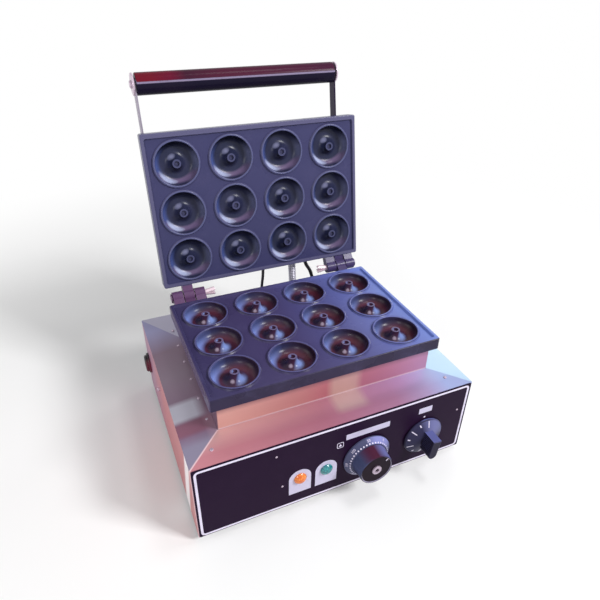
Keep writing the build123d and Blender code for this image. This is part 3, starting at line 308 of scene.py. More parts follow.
class EffectLibrary:
    """The shader node groups that several finishes share, each built once."""

    CLOUD_SCALE: ClassVar[float] = 14.0
    BLOOM_SCALE: ClassVar[float] = 22.0
    SMEAR_SCALE: ClassVar[float] = 30.0
    SMEAR_EDGE: ClassVar[Point] = (0.48, 0.75)
    DUST_SCALE: ClassVar[float] = 240.0

    def __init__(self) -> None:
        """Builds every group."""
        self.grain = self._brushed_grain()
        self.skin = self._cast_skin()
        self.smudge = self._handling_marks()
        self.across = self._span_mask("across", "Object")
        self.toward = self._span_mask("toward", "Normal")
        self.cavity = self._cavity_radius()

    @staticmethod
    def _start(name: str, inputs: Iterable[GroupSocket], outputs: Iterable[GroupSocket]
               ) -> tuple[Graph, bpy.types.NodeOutputs, bpy.types.NodeInputs]:
        """Makes an empty group with its sockets.

        Args:
            name: The group's name.
            inputs: Sockets into the group.
            outputs: Sockets out of the group.

        Returns:
            The graph, what the group is given and what it gives.
        """
        tree = bpy.data.node_groups.new(name, "ShaderNodeTree")
        for entry in inputs:
            socket = tree.interface.new_socket(name=entry.name, in_out="INPUT", socket_type=entry.kind)
            if entry.default is not None:
                socket.default_value = entry.default
        for entry in outputs:
            tree.interface.new_socket(name=entry.name, in_out="OUTPUT", socket_type=entry.kind)
        graph = Graph(tree)
        return graph, graph.add("NodeGroupInput").outputs, graph.add("NodeGroupOutput").inputs

    def _brushed_grain(self) -> bpy.types.NodeTree:
        """The long fine streaks of brushed sheet, and slow clouds over it.

        Returns:
            The group.
        """
        stretch = GroupSocket("Stretch", "NodeSocketVector", Grain.ALONG_X.value)
        graph, given, gives = self._start("brushed_grain", [stretch, GroupSocket("Scale", default=900.0)],
                                          [GroupSocket("Streak"), GroupSocket("Cloud")])
        place = graph.place()
        drawn = graph.vector("MULTIPLY", place, given["Stretch"]).outputs["Vector"]
        graph.feed(gives["Streak"], graph.noise(drawn, given["Scale"], detail=4.0, roughness=0.6))
        graph.feed(gives["Cloud"], graph.noise(place, self.CLOUD_SCALE, detail=2.0))
        return graph.tree

    def _cast_skin(self) -> bpy.types.NodeTree:
        """The fine pebble and slow unevenness of a coated casting or a moulding.

        Returns:
            The group.
        """
        graph, given, gives = self._start("cast_skin", [GroupSocket("Scale", default=1400.0)],
                                          [GroupSocket("Pebble"), GroupSocket("Bloom")])
        place = graph.place()
        graph.feed(gives["Pebble"], graph.noise(place, given["Scale"], detail=2.0, roughness=0.6))
        graph.feed(gives["Bloom"], graph.noise(place, self.BLOOM_SCALE))
        return graph.tree

    def _handling_marks(self) -> bpy.types.NodeTree:
        """Faint finger marks and dust, as a mask from 0 to 1.

        Returns:
            The group.
        """
        graph, given, gives = self._start("handling_marks", [GroupSocket("Amount", default=0.5)],
                                          [GroupSocket("Mask")])
        place = graph.place()
        smear = graph.ramp(graph.noise(place, self.SMEAR_SCALE, detail=4.0, roughness=0.65), *self.SMEAR_EDGE)
        dusty = graph.math("MULTIPLY", smear, graph.noise(place, self.DUST_SCALE))
        graph.feed(gives["Mask"], graph.math("MULTIPLY", dusty, given["Amount"]))
        return graph.tree

    def _span_mask(self, name: str, measure: str) -> bpy.types.NodeTree:
        """How far a surface's place or normal has come along a direction, from 0 to 1.

        Args:
            name: The group's name.
            measure: The texture coordinate that is measured along the direction.

        Returns:
            The group.
        """
        direction = GroupSocket("Direction", "NodeSocketVector", UP)
        ends = [GroupSocket("Low", default=0.0), GroupSocket("High", default=1.0)]
        graph, given, gives = self._start(name, [direction, *ends], [GroupSocket("Mask")])
        measured = graph.add("ShaderNodeTexCoord").outputs[measure]
        along = graph.vector("DOT_PRODUCT", measured, given["Direction"]).outputs["Value"]
        graph.feed(gives["Mask"], graph.ramp(along, given["Low"], given["High"], curve="LINEAR"))
        return graph.tree

    def _cavity_radius(self) -> bpy.types.NodeTree:
        """How far a point of a plate lies from the axis of the nearest cavity.

        Returns:
            The group.
        """
        along = GroupSocket("Along", "NodeSocketVector", REAR)
        middles = [GroupSocket("Along Middle"), GroupSocket("Across Middle")]
        graph, given, gives = self._start("cavity_radius", [along, *middles], [GroupSocket("Radius")])
        place = graph.place()
        squares = []
        for direction, middle, pitch, count in (
                (RIGHT, given["Across Middle"], CAVITY_PITCH[0], CAVITY_COUNT[0]),
                (given["Along"], given["Along Middle"], CAVITY_PITCH[1], CAVITY_COUNT[1])):
            measured = graph.vector("DOT_PRODUCT", place, direction).outputs["Value"]
            offset = graph.math("SUBTRACT", measured, middle)
            half = pitch * count / 2
            kept = graph.math("MINIMUM", graph.math("MAXIMUM", offset, -half), half)
            beyond = graph.math("ABSOLUTE", graph.math("SUBTRACT", offset, kept))
            near = graph.math("PINGPONG", graph.math("ADD", kept, half - pitch / 2), pitch / 2)
            away = graph.math("ADD", near, beyond)
            squares.append(graph.math("MULTIPLY", away, away))
        graph.feed(gives["Radius"], graph.math("SQRT", graph.math("ADD", *squares)))
        return graph.tree


class Swing(NamedTuple):
    """The stretch of a varying value that counts, and what its two ends turn into."""

    low: float
    high: float
    to_low: float
    to_high: float


class Relief(NamedTuple):
    """How strongly a bump stands out, and how deep it is in metres."""

    strength: float
    depth: float


@dataclass(frozen=True)
class Span:
    """A direction of the object and the two values along it between which something sets in."""

    direction: Direction
    low: float
    high: float


@dataclass(frozen=True)
class Cast:
    """A colour painted on a surface where it faces some way, lies in some zone, or both.

    The spans of `faces` are cosines, those of `lies` are metres, and the pairs of `rings` are metres from the
    axis of the nearest cavity. All of them have to be met. With a `run`, the colour changes along it through
    the stops. Most casts are painted light: reflections, highlights and shade held fixed on the surface; a
    few give a part its own plain colour.
    """

    what: str
    colour: Colour = WHITE
    faces: tuple[Span, ...] = ()
    lies: tuple[Span, ...] = ()
    rings: tuple[Point, ...] = ()
    run: Span | None = None
    stops: Gradient = ()
    share: float = 1.0


def band(direction: Direction, middle: float, core: float, reach: float) -> tuple[Span, Span]:
    """The two spans of a band across a direction.

    Args:
        direction: The direction that the band lies across.
        middle: The value along it at the band's middle.
        core: How far from the middle the band is full.
        reach: How far from the middle it ends.

    Returns:
        The span where the band begins and the one where it ends.
    """
    return (Span(direction, middle - reach, middle - core), Span(direction, middle + reach, middle + core))


@dataclass(frozen=True)
class Draft:
    """A material in the making: its graph, its shader and the shared effects."""

    graph: Graph
    shader: bpy.types.Node
    effects: EffectLibrary

    def put(self, name: str, value: object) -> None:
        """Links or sets one of the shader's own sockets."""
        self.graph.feed(self.shader.inputs[name], value)

    def effect(self, tree: bpy.types.NodeTree, **values: object) -> bpy.types.NodeOutputs:
        """Places a shared group in the material with its own values.

        Args:
            tree: The group.
            values: Inputs of the group, with underscores for spaces.

        Returns:
            The group's outputs.
        """
        node = self.graph.add("ShaderNodeGroup", node_tree=tree)
        for name, value in values.items():
            self.graph.feed(node.inputs[name.replace("_", " ")], value)
        return node.outputs

    def mask(self, tree: bpy.types.NodeTree, span: Span) -> Socket:
        """Where a span has set in, by place or by facing."""
        return self.effect(tree, Direction=span.direction, Low=span.low, High=span.high)["Mask"]

    def tinted(self, colour: object, casts: Iterable[Cast], radius: Socket | None = None) -> object:
        """Lays casts over a colour, one after the other; most casts are painted reflections, highlights and
        shade.

        Args:
            colour: The colour or socket below.
            casts: The casts in order.
            radius: Distance from the nearest cavity's axis, where casts have rings.

        Returns:
            The colour with the casts laid over it.
        """
        for cast in casts:
            masks = [self.mask(self.effects.toward, span) for span in cast.faces]
            masks += [self.mask(self.effects.across, span) for span in cast.lies]
            masks += [self.graph.ramp(radius, low, high) for low, high in cast.rings]
            share: object = cast.share
            for mask in masks:
                share = self.graph.math("MULTIPLY", share, mask)
            tone: object = cast.colour
            if cast.run is not None:
                tone = self.graph.gradient(self.mask(self.effects.across, cast.run), cast.stops)
            colour = self.graph.mix(share, colour, tone)
            colour.node.label = cast.what
        return colour

    def roughen(self, value: Socket, swing: Swing, middle: float = 0.0) -> None:
        """Lets the shader's roughness swing with a value.

        Args:
            value: The value that varies over the surface.
            swing: What its ends add to the middle.
            middle: The roughness that the swing goes round.
        """
        rough = self.graph.ramp(value, swing.low, swing.high, middle + swing.to_low, middle + swing.to_high)
        self.put("Roughness", rough)

    def bump(self, height: Socket, relief: Relief) -> None:
        """Links a height to the shader's normal through a bump node.

        Args:
            height: The height, from 0 to 1.
            relief: How it stands out.
        """
        node = self.graph.add("ShaderNodeBump")
        inputs = {"Strength": relief.strength, "Distance": relief.depth, "Height": height}
        for name, value in inputs.items():
            self.graph.feed(node.inputs[name], value)
        self.put("Normal", node.outputs["Normal"])


@dataclass(frozen=True)
class Finish:
    """A surface finish that makes one material and keeps it."""

    name: str
    made: ClassVar[dict[str, bpy.types.Material]] = {}

    def material(self, effects: EffectLibrary) -> bpy.types.Material:
        """Makes the finish's material, or returns the one made before.

        Args:
            effects: The shared node groups.

        Returns:
            The material.
        """
        if self.name not in self.made:
            material = bpy.data.materials.new(f"{self.name}_finish")
            material.use_nodes = True
            shader = material.node_tree.nodes["Principled BSDF"]
            self.dress(Draft(Graph(material.node_tree), shader, effects))
            self.made[self.name] = material
        return self.made[self.name]

    def dress(self, draft: Draft) -> None:
        """Links the finish's effects to the draft's shader."""
        raise NotImplementedError


@dataclass(frozen=True)
class SheetSteel(Finish):
    """Finely brushed stainless sheet, with painted reflections, highlights and shade from its casts."""

    grain: Grain = Grain.ALONG_X
    plain: Colour = paint(168, 165, 174)
    casts: tuple[Cast, ...] = ()
    roughness: float = 0.4
    metallic: float = 0.35
    cloud_shade: Swing = Swing(0.3, 0.75, 0.97, 1.03)
    streak_shade: Swing = Swing(0.3, 0.7, 0.99, 1.01)
    streak_rough: Swing = Swing(0.25, 0.75, -0.03, 0.03)
    relief: Relief = Relief(0.02, 0.1 * MM)

    def dress(self, draft: Draft) -> None:
        """Paints its casts' reflections, highlights and shade on the sheet, then brushes it.

        Args:
            draft: The material in the making.
        """
        graph = draft.graph
        grain = draft.effect(draft.effects.grain, Stretch=self.grain.value)
        clouded = graph.ramp(grain["Cloud"], *self.cloud_shade)
        streaked = graph.ramp(grain["Streak"], *self.streak_shade)
        # The casts paint reflections, highlights and shade into the sheet's colour.
        tint = draft.tinted(self.plain, self.casts)
        draft.put("Base Color", graph.shaded(tint, graph.math("MULTIPLY", clouded, streaked)))
        draft.put("Metallic", self.metallic)
        draft.roughen(grain["Streak"], self.streak_rough, self.roughness)
        draft.bump(grain["Streak"], self.relief)


@dataclass(frozen=True)
class CoatedCasting(Finish):
    """Dark non-stick coat on a cast aluminium plate, with the middle of its grid of cavities and painted
    reflections, highlights and shade from its casts.
    """

    land: Colour
    bloom: Colour
    casts: tuple[Cast, ...]
    along: Direction
    along_middle: float
    across_middle: float
    roughness: float = 0.27
    specular: float = 0.2
    smudge: float = 0.25
    bloom_share: Swing = Swing(0.3, 0.7, 0.0, 0.08)
    bloom_rough: Swing = Swing(0.2, 0.8, -0.03, 0.05)
    relief: Relief = Relief(0.05, 0.1 * MM)

    def dress(self, draft: Draft) -> None:
        """Lays the casts, mostly painted reflections, highlights and shade, over the coat and pebbles it.

        Args:
            draft: The material in the making.
        """
        graph = draft.graph
        skin = draft.effect(draft.effects.skin)
        marks = draft.effect(draft.effects.smudge, Amount=self.smudge)
        cavity = draft.effect(draft.effects.cavity, Along=self.along, Along_Middle=self.along_middle,
                              Across_Middle=self.across_middle)
        # The casts paint reflections, highlights and shade over the coat's colour.
        coat = draft.tinted(self.land, self.casts, cavity["Radius"])
        coat = graph.mix(graph.ramp(skin["Bloom"], *self.bloom_share), coat, self.bloom)
        draft.put("Base Color", graph.mix(marks["Mask"], coat, self.bloom))
        draft.roughen(skin["Bloom"], self.bloom_rough, self.roughness)
        draft.put("Specular IOR Level", self.specular)
        draft.bump(skin["Pebble"], self.relief)


@dataclass(frozen=True)
class MouldedPlastic(Finish):
    """Moulded plastic or rubber with a fine skin and faint handling marks."""

    colour: Colour
    mark: Colour
    roughness: float = 0.35
    specular: float = 0.5
    pebble: float = 0.08
    scale: float = 1800.0
    casts: tuple[Cast, ...] = ()
    smudge: float = 0.4
    mark_share: Swing = Swing(0.3, 0.7, 0.0, 0.12)
    mark_rough: Swing = Swing(0.0, 0.5, 0.0, 0.12)
    pebble_depth: float = 0.1 * MM

    def dress(self, draft: Draft) -> None:
        """Mixes the casts, painted reflections, highlights and shade, and faint marks into the colour and
        textures the skin.

        Args:
            draft: The material in the making.
        """
        graph = draft.graph
        skin = draft.effect(draft.effects.skin, Scale=self.scale)
        marks = draft.effect(draft.effects.smudge, Amount=self.smudge)
        shade = graph.mix(graph.ramp(skin["Bloom"], *self.mark_share), self.colour, self.mark)
        # The casts paint reflections, highlights and shade over the plastic's colour.
        shade = draft.tinted(shade, self.casts)
        draft.put("Base Color", graph.mix(marks["Mask"], shade, self.mark))
        draft.roughen(marks["Mask"], self.mark_rough, self.roughness)
        draft.put("Specular IOR Level", self.specular)
        draft.bump(skin["Pebble"], Relief(self.pebble, self.pebble_depth))


@dataclass(frozen=True)
class BareMetal(Finish):
    """Turned, drawn or oxidised metal with fine scratches."""

    colour: Colour
    dull: Colour
    roughness: float = 0.25
    metallic: float = 0.4
    casts: tuple[Cast, ...] = ()
    stretch: Direction = (1.0, 0.2, 0.4)
    scale: float = 1200.0
    dull_share: Swing = Swing(0.35, 0.7, 0.0, 0.55)
    scratch_rough: Swing = Swing(0.3, 0.7, -0.05, 0.1)
    relief: Relief = Relief(0.08, 0.1 * MM)

    def dress(self, draft: Draft) -> None:
        """Scratches the metal and dulls it in patches.

        Args:
            draft: The material in the making.
        """
        graph = draft.graph
        grain = draft.effect(draft.effects.grain, Stretch=self.stretch, Scale=self.scale)
        metal = graph.mix(graph.ramp(grain["Cloud"], *self.dull_share), self.colour, self.dull)
        draft.put("Base Color", draft.tinted(metal, self.casts))
        draft.put("Metallic", self.metallic)
        draft.roughen(grain["Streak"], self.scratch_rough, self.roughness)
        draft.bump(grain["Streak"], self.relief)


@dataclass(frozen=True)
class LampLens(Finish):
    """A tinted lamp lens with faint prisms inside."""

    colour: Colour
    deep: Colour
    prism_scale: float = 420.0
    prism_reach: Point = (0.0, 0.7)
    prism_rough: Swing = Swing(0.0, 0.8, 0.12, 0.26)
    coat: float = 0.6
    coat_rough: float = 0.04
    relief: Relief = Relief(0.15, 0.4 * MM)

    def dress(self, draft: Draft) -> None:
        """Varies the tint and facets the surface.

        Args:
            draft: The material in the making.
        """
        graph = draft.graph
        cells = graph.add("ShaderNodeTexVoronoi")
        graph.feed(cells.inputs["Vector"], graph.place())
        graph.feed(cells.inputs["Scale"], self.prism_scale)
        distance = cells.outputs["Distance"]
        draft.put("Base Color", graph.mix(graph.ramp(distance, *self.prism_reach), self.colour, self.deep))
        draft.roughen(distance, self.prism_rough)
        draft.put("Coat Weight", self.coat)
        draft.put("Coat Roughness", self.coat_rough)
        draft.bump(distance, self.relief)


@dataclass(frozen=True)
class Felt(Finish):
    """Felted mineral fibre."""

    colour: Colour
    shadow: Colour
    stretch: Direction = (1.0, 0.25, 1.0)
    scale: float = 500.0
    mat_rough: Swing = Swing(0.2, 0.8, 0.85, 1.0)
    relief: Relief = Relief(0.5, 1.0 * MM)

    def dress(self, draft: Draft) -> None:
        """Mats the fibres together.

        Args:
            draft: The material in the making.
        """
        fibre = draft.effect(draft.effects.grain, Stretch=self.stretch, Scale=self.scale)
        draft.put("Base Color", draft.graph.mix(fibre["Streak"], self.shadow, self.colour))
        draft.roughen(fibre["Cloud"], self.mat_rough)
        draft.bump(fibre["Streak"], self.relief)


@dataclass(frozen=True)
class PrintedInk(Finish):
    """Screen-printed ink, slightly worn."""

    colour: Colour
    worn: Colour
    wear: float = 1.0
    wear_rough: Swing = Swing(0.0, 0.5, 0.4, 0.6)

    def dress(self, draft: Draft) -> None:
        """Wears the ink in specks.

        Args:
            draft: The material in the making.
        """
        marks = draft.effect(draft.effects.smudge, Amount=self.wear)
        draft.put("Base Color", draft.graph.mix(marks["Mask"], self.colour, self.worn))
        draft.roughen(marks["Mask"], self.wear_rough)


@dataclass(frozen=True)
class PaleFloor(Finish):
    """A plain floor that keeps the object's shadow and fades to white further out."""

    colour: Colour = (0.88, 0.88, 0.88, 1.0)
    glow: Colour = (0.06, 0.06, 0.06, 1.0)
    fade: Point = (0.35, 1.1)

    def dress(self, draft: Draft) -> None:
        """Lets the floor give way to an even white.

        Args:
            draft: The material in the making.
        """
        graph = draft.graph
        reach = graph.vector("LENGTH", graph.place()).outputs["Value"]
        away = graph.ramp(reach, *self.fade)
        draft.put("Base Color", graph.mix(away, self.colour, BLACK))
        draft.put("Emission Color", graph.mix(away, self.glow, WHITE))
        draft.put("Emission Strength", 1.0)
        draft.put("Roughness", 1.0)
        draft.put("Specular IOR Level", 0.0)


GRID = grid_middle()
HINGE = hinge_place()
LID_GRID = HINGE.dot(Vector(LID_UP)) + HINGE.y - GRID.y

ACROSS_CASING = Span(RIGHT, -0.17, 0.18)
ALONG_CASING = Span(REAR, -0.14, 0.12)
ACROSS_PLATE = Span(RIGHT, -0.137, 0.144)
SLOPE_FRONT = Span(FRONT, 0.04, 0.09)
SLOPE_LEFT = Span(LEFT, 0.04, 0.09)
SLOPE_RIGHT = (Span(RIGHT, 0.04, 0.09), Span(RIGHT, 0.9, 0.6))
SLOPE_REAR = (Span(REAR, 0.04, 0.09), Span(REAR, 0.9, 0.6))
WALL_LEFT = Span(LEFT, 0.5, 0.9)
COLLAR_FACE = Span(FRONT, 0.3, 0.8)
# The three zones below hold painted light on the casing: a window's pale reflection across the front, a
# bright stripe on the left wall and a highlight along the left hip.
PALE_REFLECTION_BAND = band(RIGHT, 0.022, 0.014, 0.024)
WALL_HIGHLIGHT_STRIPE = band((0.0, 0.951, 0.309), -0.0994, 0.007, 0.013)
HIP_HIGHLIGHT_LINE = band((0.6935, -0.7203, 0.0), -0.0058, 0.0004, 0.0012)
PLATE_FRONT = Span(FRONT, 0.1222, 0.123)
PLATE_LEFT = Span(LEFT, 0.1358, 0.1366)
BEHIND_PLATE = Span(REAR, 0.0684, 0.069)
BELOW_LID_PLATE = Span(LID_UP, 0.1945, 0.193)
LEFT_HALF = Span(LEFT, -0.05, 0.05)
CAVITY: Point = (26.4 * MM, 25.8 * MM)
LIP: tuple[Point, Point] = ((26.0 * MM, 26.6 * MM), (28.6 * MM, 28.0 * MM))
LIP_FLANK: tuple[Point, Point] = ((28.0 * MM, 28.5 * MM), (30.2 * MM, 29.6 * MM))
LAND: Point = (29.0 * MM, 31.0 * MM)
POST: Point = (16.0 * MM, 12.0 * MM)
BOWL: tuple[Point, Point] = ((12.0 * MM, 16.0 * MM), CAVITY)
POST_TOP: tuple[Point, Point] = ((2.4 * MM, 2.8 * MM), (5.4 * MM, 5.0 * MM))
POST_BORE: Point = (3.0 * MM, 2.6 * MM)
KNUCKLE = paint(68, 57, 98)
# The left knuckles are the same coat as the right ones; their plum is a painted reflection.
LEFT_KNUCKLE_REFLECTION = paint(94, 62, 98)
# Painted shade on the face and the left flank of the timer's bar.
TIMER_PAINTED_SHADE = paint(36, 32, 52)
HANDLE_TOP: Direction = (0.0, 0.087, 0.996)
HANDLE_BACK: Direction = (0.0, 0.61, 0.792)

# Painted reflections across the front slope, warm on the left and cool on the right.
FRONT_SLOPE_REFLECTION: Gradient = (
    (0.1, paint(190, 124, 135)), (0.45, paint(166, 103, 124)), (0.7, paint(162, 114, 146)),
    (0.82, paint(160, 141, 181)), (0.9, paint(153, 164, 209)))
# Painted reflections on the front slope next to the collar.
BY_COLLAR_REFLECTION: Gradient = (
    (0.1, paint(207, 173, 169)), (0.4, paint(180, 136, 144)), (0.5, paint(171, 124, 142)),
    (0.75, paint(166, 142, 182)), (0.9, paint(164, 181, 218)))
# Painted reflections along the left slope, from front to rear.
LEFT_SLOPE_REFLECTION: Gradient = (
    (0.05, paint(138, 131, 155)), (0.12, paint(126, 94, 121)), (0.5, paint(136, 118, 134)),
    (0.7, paint(125, 103, 121)), (0.9, paint(144, 142, 179)))
# Painted reflections along the left wall, from front to rear.
LEFT_WALL_REFLECTION: Gradient = (
    (0.1, paint(196, 122, 126)), (0.5, paint(190, 112, 120)), (0.9, paint(164, 116, 146)))
# Painted reflections across the collar's front.
COLLAR_FRONT_REFLECTION: Gradient = (
    (0.15, paint(211, 165, 156)), (0.4, paint(190, 132, 132)), (0.5, paint(175, 102, 115)),
    (0.85, paint(176, 124, 149)))
# The land's plain coat on the left, turning into a painted blue reflection towards the right.
LOWER_LAND_WITH_REFLECTION: Gradient = (
    (0.0, paint(58, 52, 90)), (0.4, paint(66, 57, 98)), (0.65, paint(80, 80, 134)),
    (0.88, paint(104, 114, 182)), (1.0, paint(118, 138, 208)))
# A painted red reflection along the top of the grip, strongest near the left end.
HANDLE_RED_REFLECTION: Gradient = (
    (0.1, paint(104, 22, 38)), (0.18, paint(98, 18, 44)), (0.25, paint(60, 24, 44)),
    (0.4, paint(74, 26, 48)), (1.0, paint(64, 24, 50)))

# Painted light on the casing's sheet, none of it the steel's own colour: painted reflections on the slopes
# and the left wall, a window's pale band, pale and dark reflected patches, a corner painted lighter against
# the collar's shade, a bright painted stripe and a painted highlight along the left hip.
CASING_PAINTED_REFLECTIONS = (
    Cast("right slope", paint(165, 192, 216), faces=SLOPE_RIGHT),
    Cast("rear slope", paint(176, 172, 202), faces=SLOPE_REAR),
    Cast("front slope", faces=(SLOPE_FRONT,), run=ACROSS_CASING, stops=FRONT_SLOPE_REFLECTION),
    Cast("front slope by the collar", faces=(SLOPE_FRONT,), lies=(Span(REAR, -0.144, -0.122),),
         run=ACROSS_CASING, stops=BY_COLLAR_REFLECTION, share=0.7),
    Cast("pale band on the front slope", paint(188, 167, 157), faces=(SLOPE_FRONT,),
         lies=PALE_REFLECTION_BAND + (Span(REAR, -0.146, -0.136),), share=0.6),
    Cast("left slope", faces=(SLOPE_LEFT,), run=ALONG_CASING, stops=LEFT_SLOPE_REFLECTION),
    Cast("pale patch on the left slope", paint(195, 194, 208), faces=(SLOPE_LEFT,),
         lies=band(REAR, -0.073, 0.011, 0.019) + (Span(LEFT, 0.132, 0.144),), share=0.9),
    Cast("dark patch on the left slope", paint(130, 79, 99), faces=(SLOPE_LEFT,),
         lies=band(REAR, -0.1, 0.007, 0.013), share=0.8),
    Cast("pale corner of the left slope", paint(185, 151, 169), faces=(SLOPE_LEFT,),
         lies=(Span(FRONT, 0.075, 0.095), Span(RIGHT, -0.142, -0.126)), share=0.8),
    Cast("left wall", faces=(WALL_LEFT,), run=ALONG_CASING, stops=LEFT_WALL_REFLECTION),
    Cast("bright stripe on the left wall", paint(255, 250, 252), faces=(WALL_LEFT,), lies=WALL_HIGHLIGHT_STRIPE),
    Cast("bright edge of the left hip", paint(240, 206, 212), lies=HIP_HIGHLIGHT_LINE + (Span(LEFT, 0.118, 0.122),),
         share=0.8),
)
# Painted light on the collar: painted reflections on its front, a window's pale band, painted shade on its
# left side and under the plate, and a painted highlight along its foot.
COLLAR_PAINTED_LIGHT = (
    Cast("front", faces=(COLLAR_FACE,), run=ACROSS_CASING, stops=COLLAR_FRONT_REFLECTION),
    Cast("pale band on the front", paint(198, 175, 162), faces=(COLLAR_FACE,), lies=PALE_REFLECTION_BAND, share=0.6),
    Cast("left side", paint(118, 91, 111), faces=(Span(LEFT, 0.3, 0.8),)),
    Cast("shade under the plate", paint(113, 78, 95), lies=(Span(UP, 0.14, 0.149),), share=0.7),
    Cast("bright foot", paint(218, 195, 202), faces=(COLLAR_FACE,), lies=(Span(UP, 0.1222, 0.1212),),
         share=0.8),
)
# Painted light on the lower plate, apart from the right side and the knuckles, which keep a plain coat
# colour.
LOWER_PAINTED_LIGHT_AND_TINTS = (
    Cast("land", run=ACROSS_PLATE, stops=LOWER_LAND_WITH_REFLECTION),
    # The right side keeps the coat's plain colour, clear of the painted reflection on the land.
    Cast("right side", paint(64, 58, 98), faces=(Span(RIGHT, 0.5, 0.9),), rings=(LAND,)),
    # Painted shade on the lips' outer flanks and a painted highlight on their tops.
    Cast("flank of the lips", paint(32, 26, 54), faces=(Span(UP, 0.8, 0.3),), rings=LIP_FLANK),
    Cast("top of the lips", paint(92, 94, 146), faces=(Span(UP, 0.6, 0.9),), rings=LIP, share=0.6),
    # Painted reflections and shade in the cavities: a red reflection over them and on the bowls' floors, blue
    # on walls that face right, and darker walls facing front, left and rear.
    Cast("cavities", paint(64, 34, 56), rings=(CAVITY,)),
    Cast("red floor of the bowls", paint(92, 36, 48), faces=(Span((-0.45, -0.2, 0.87), 0.7, 1.0),),
         rings=BOWL, share=0.8),
    Cast("bowls to the front", paint(40, 38, 62), faces=(Span(FRONT, 0.25, 0.9),), rings=BOWL, share=0.9),
    Cast("bowls to the left", paint(30, 16, 30), faces=(Span(LEFT, 0.4, 0.95),), rings=BOWL),
    Cast("bowls to the rear", paint(44, 36, 66), faces=(Span(REAR, 0.2, 0.8),), rings=BOWL),
    Cast("bowls to the right", paint(124, 144, 214), faces=(Span(RIGHT, 0.08, 0.72),), rings=BOWL),
    Cast("bowls to the front and right", paint(46, 50, 88), faces=(Span((0.55, -0.83, 0.0), 0.55, 0.95),),
         rings=BOWL, share=0.8),
    # Painted shade on one side of the posts, and painted highlights on their other sides and tops.
    Cast("dark side of the posts", paint(36, 22, 42), faces=(Span((-0.7, 0.3, 0.65), 0.6, 1.0),),
         rings=(POST,)),
    Cast("blue side of the posts", paint(132, 156, 220), faces=(Span((0.66, -0.5, 0.56), 0.62, 1.0),),
         rings=(POST,), share=0.9),
    Cast("bright spot on the posts", paint(214, 194, 214), faces=(Span((-0.45, -0.6, 0.66), 0.96, 1.0),),
         rings=(POST,), share=0.6),
    Cast("top of the posts", paint(106, 96, 132), faces=(Span(UP, 0.8, 0.95),), rings=POST_TOP),
    # Painted shade on the front edge and a painted highlight on the left edge.
    Cast("front edge", paint(36, 28, 56), lies=(PLATE_FRONT,)),
    Cast("left edge", paint(80, 66, 98), lies=(PLATE_LEFT,)),
    # The knuckles take one plain coat colour; on the left they carry a painted plum reflection.
    Cast("knuckles", KNUCKLE, lies=(BEHIND_PLATE,)),
    Cast("left knuckles", LEFT_KNUCKLE_REFLECTION, lies=(BEHIND_PLATE, LEFT_HALF)),
)
# Painted light on the upper plate, apart from the knuckles' plain colour.
UPPER_PAINTED_LIGHT_AND_TINTS = (
    # Painted highlights on the rim and on the lips.
    Cast("rim", paint(88, 86, 118), lies=(Span(LID_FACE, -0.0562, -0.055),)),
    Cast("lips", paint(84, 88, 128), rings=LIP, share=0.8),
    # Painted shade in the cavities and under the lips, with painted reflections on the bowls' sides.
    Cast("cavities", paint(36, 40, 66), rings=(CAVITY,)),
    Cast("bowls to the right", paint(70, 84, 140), faces=(Span(RIGHT, 0.25, 0.7),), rings=BOWL),
    Cast("bowls to the left", paint(104, 108, 142), faces=(Span(LEFT, 0.38, 0.85),), rings=BOWL, share=0.8),
    Cast("shade under the lips", paint(10, 12, 26), faces=(Span(LID_DOWN, 0.15, 0.65),), rings=(CAVITY,)),
    # Painted highlights: a crescent low in each bowl, bright spots in the bowls and on the posts, and the
    # posts' tops.
    Cast("lower part of the bowls", paint(108, 90, 124), faces=band(LID_UP, 0.58, 0.12, 0.34), rings=BOWL,
         share=0.8),
    Cast("bright spot in the bowls", paint(180, 190, 224), faces=(Span((0.42, -0.58, 0.7), 0.9, 0.985),),
         rings=BOWL, share=0.85),
    Cast("bright spot on the posts", paint(136, 138, 172), faces=(Span((-0.35, -0.6, 0.72), 0.9, 1.0),),
         rings=(POST,), share=0.9),
    Cast("top of the posts", paint(72, 74, 108), faces=(Span(LID_FACE, 0.8, 0.95),), rings=POST_TOP,
         share=0.8),
    # The bores painted lighter than the shade that falls in them.
    Cast("bore of the posts", paint(62, 62, 94), rings=(POST_BORE,), share=0.8),
    # The knuckles take one plain coat colour; on the left they carry a painted plum reflection.
    Cast("knuckles", KNUCKLE, lies=(BELOW_LID_PLATE,)),
    Cast("left knuckles", LEFT_KNUCKLE_REFLECTION, lies=(BELOW_LID_PLATE, LEFT_HALF)),
)
# Painted light on the grip's near-black plastic: a painted red reflection along its top, a painted highlight
# line below it and a painted dark band along its rear edge.
HANDLE_PAINTED_REFLECTIONS = (
    Cast("red top", faces=(Span(HANDLE_TOP, 0.2, 0.28),), run=ACROSS_PLATE, stops=HANDLE_RED_REFLECTION),
    Cast("bright line", paint(158, 146, 178), faces=band(HANDLE_TOP, 0.16, 0.05, 0.11), share=0.7),
    Cast("dark upper edge", paint(52, 24, 42), faces=(Span(HANDLE_BACK, 0.6, 0.76),), share=0.8),
)
# Painted reflections on the knob's flanks, slate on the left, red on top and lavender on the right, and a
# painted highlight round its rounded edge.
KNOB_PAINTED_REFLECTIONS = (
    Cast("left flank", paint(74, 80, 116), faces=(Span((-0.85, 0.0, 0.53), 0.5, 0.9),)),
    Cast("upper flank", paint(78, 36, 58), faces=(Span((-0.1, 0.0, 0.995), 0.72, 1.0),)),
    Cast("right flank", paint(112, 114, 170), faces=(Span((0.76, 0.0, 0.65), 0.72, 1.0),)),
    Cast("rounded edge", paint(150, 144, 168), faces=band(FRONT, 0.72, 0.16, 0.26)),
)
# A painted highlight on the dial's upper right.
DIAL_PAINTED_HIGHLIGHT = (Cast("upper right", paint(136, 138, 196), faces=(Span((0.4, -0.7, 0.59), 0.86, 0.98),)),)
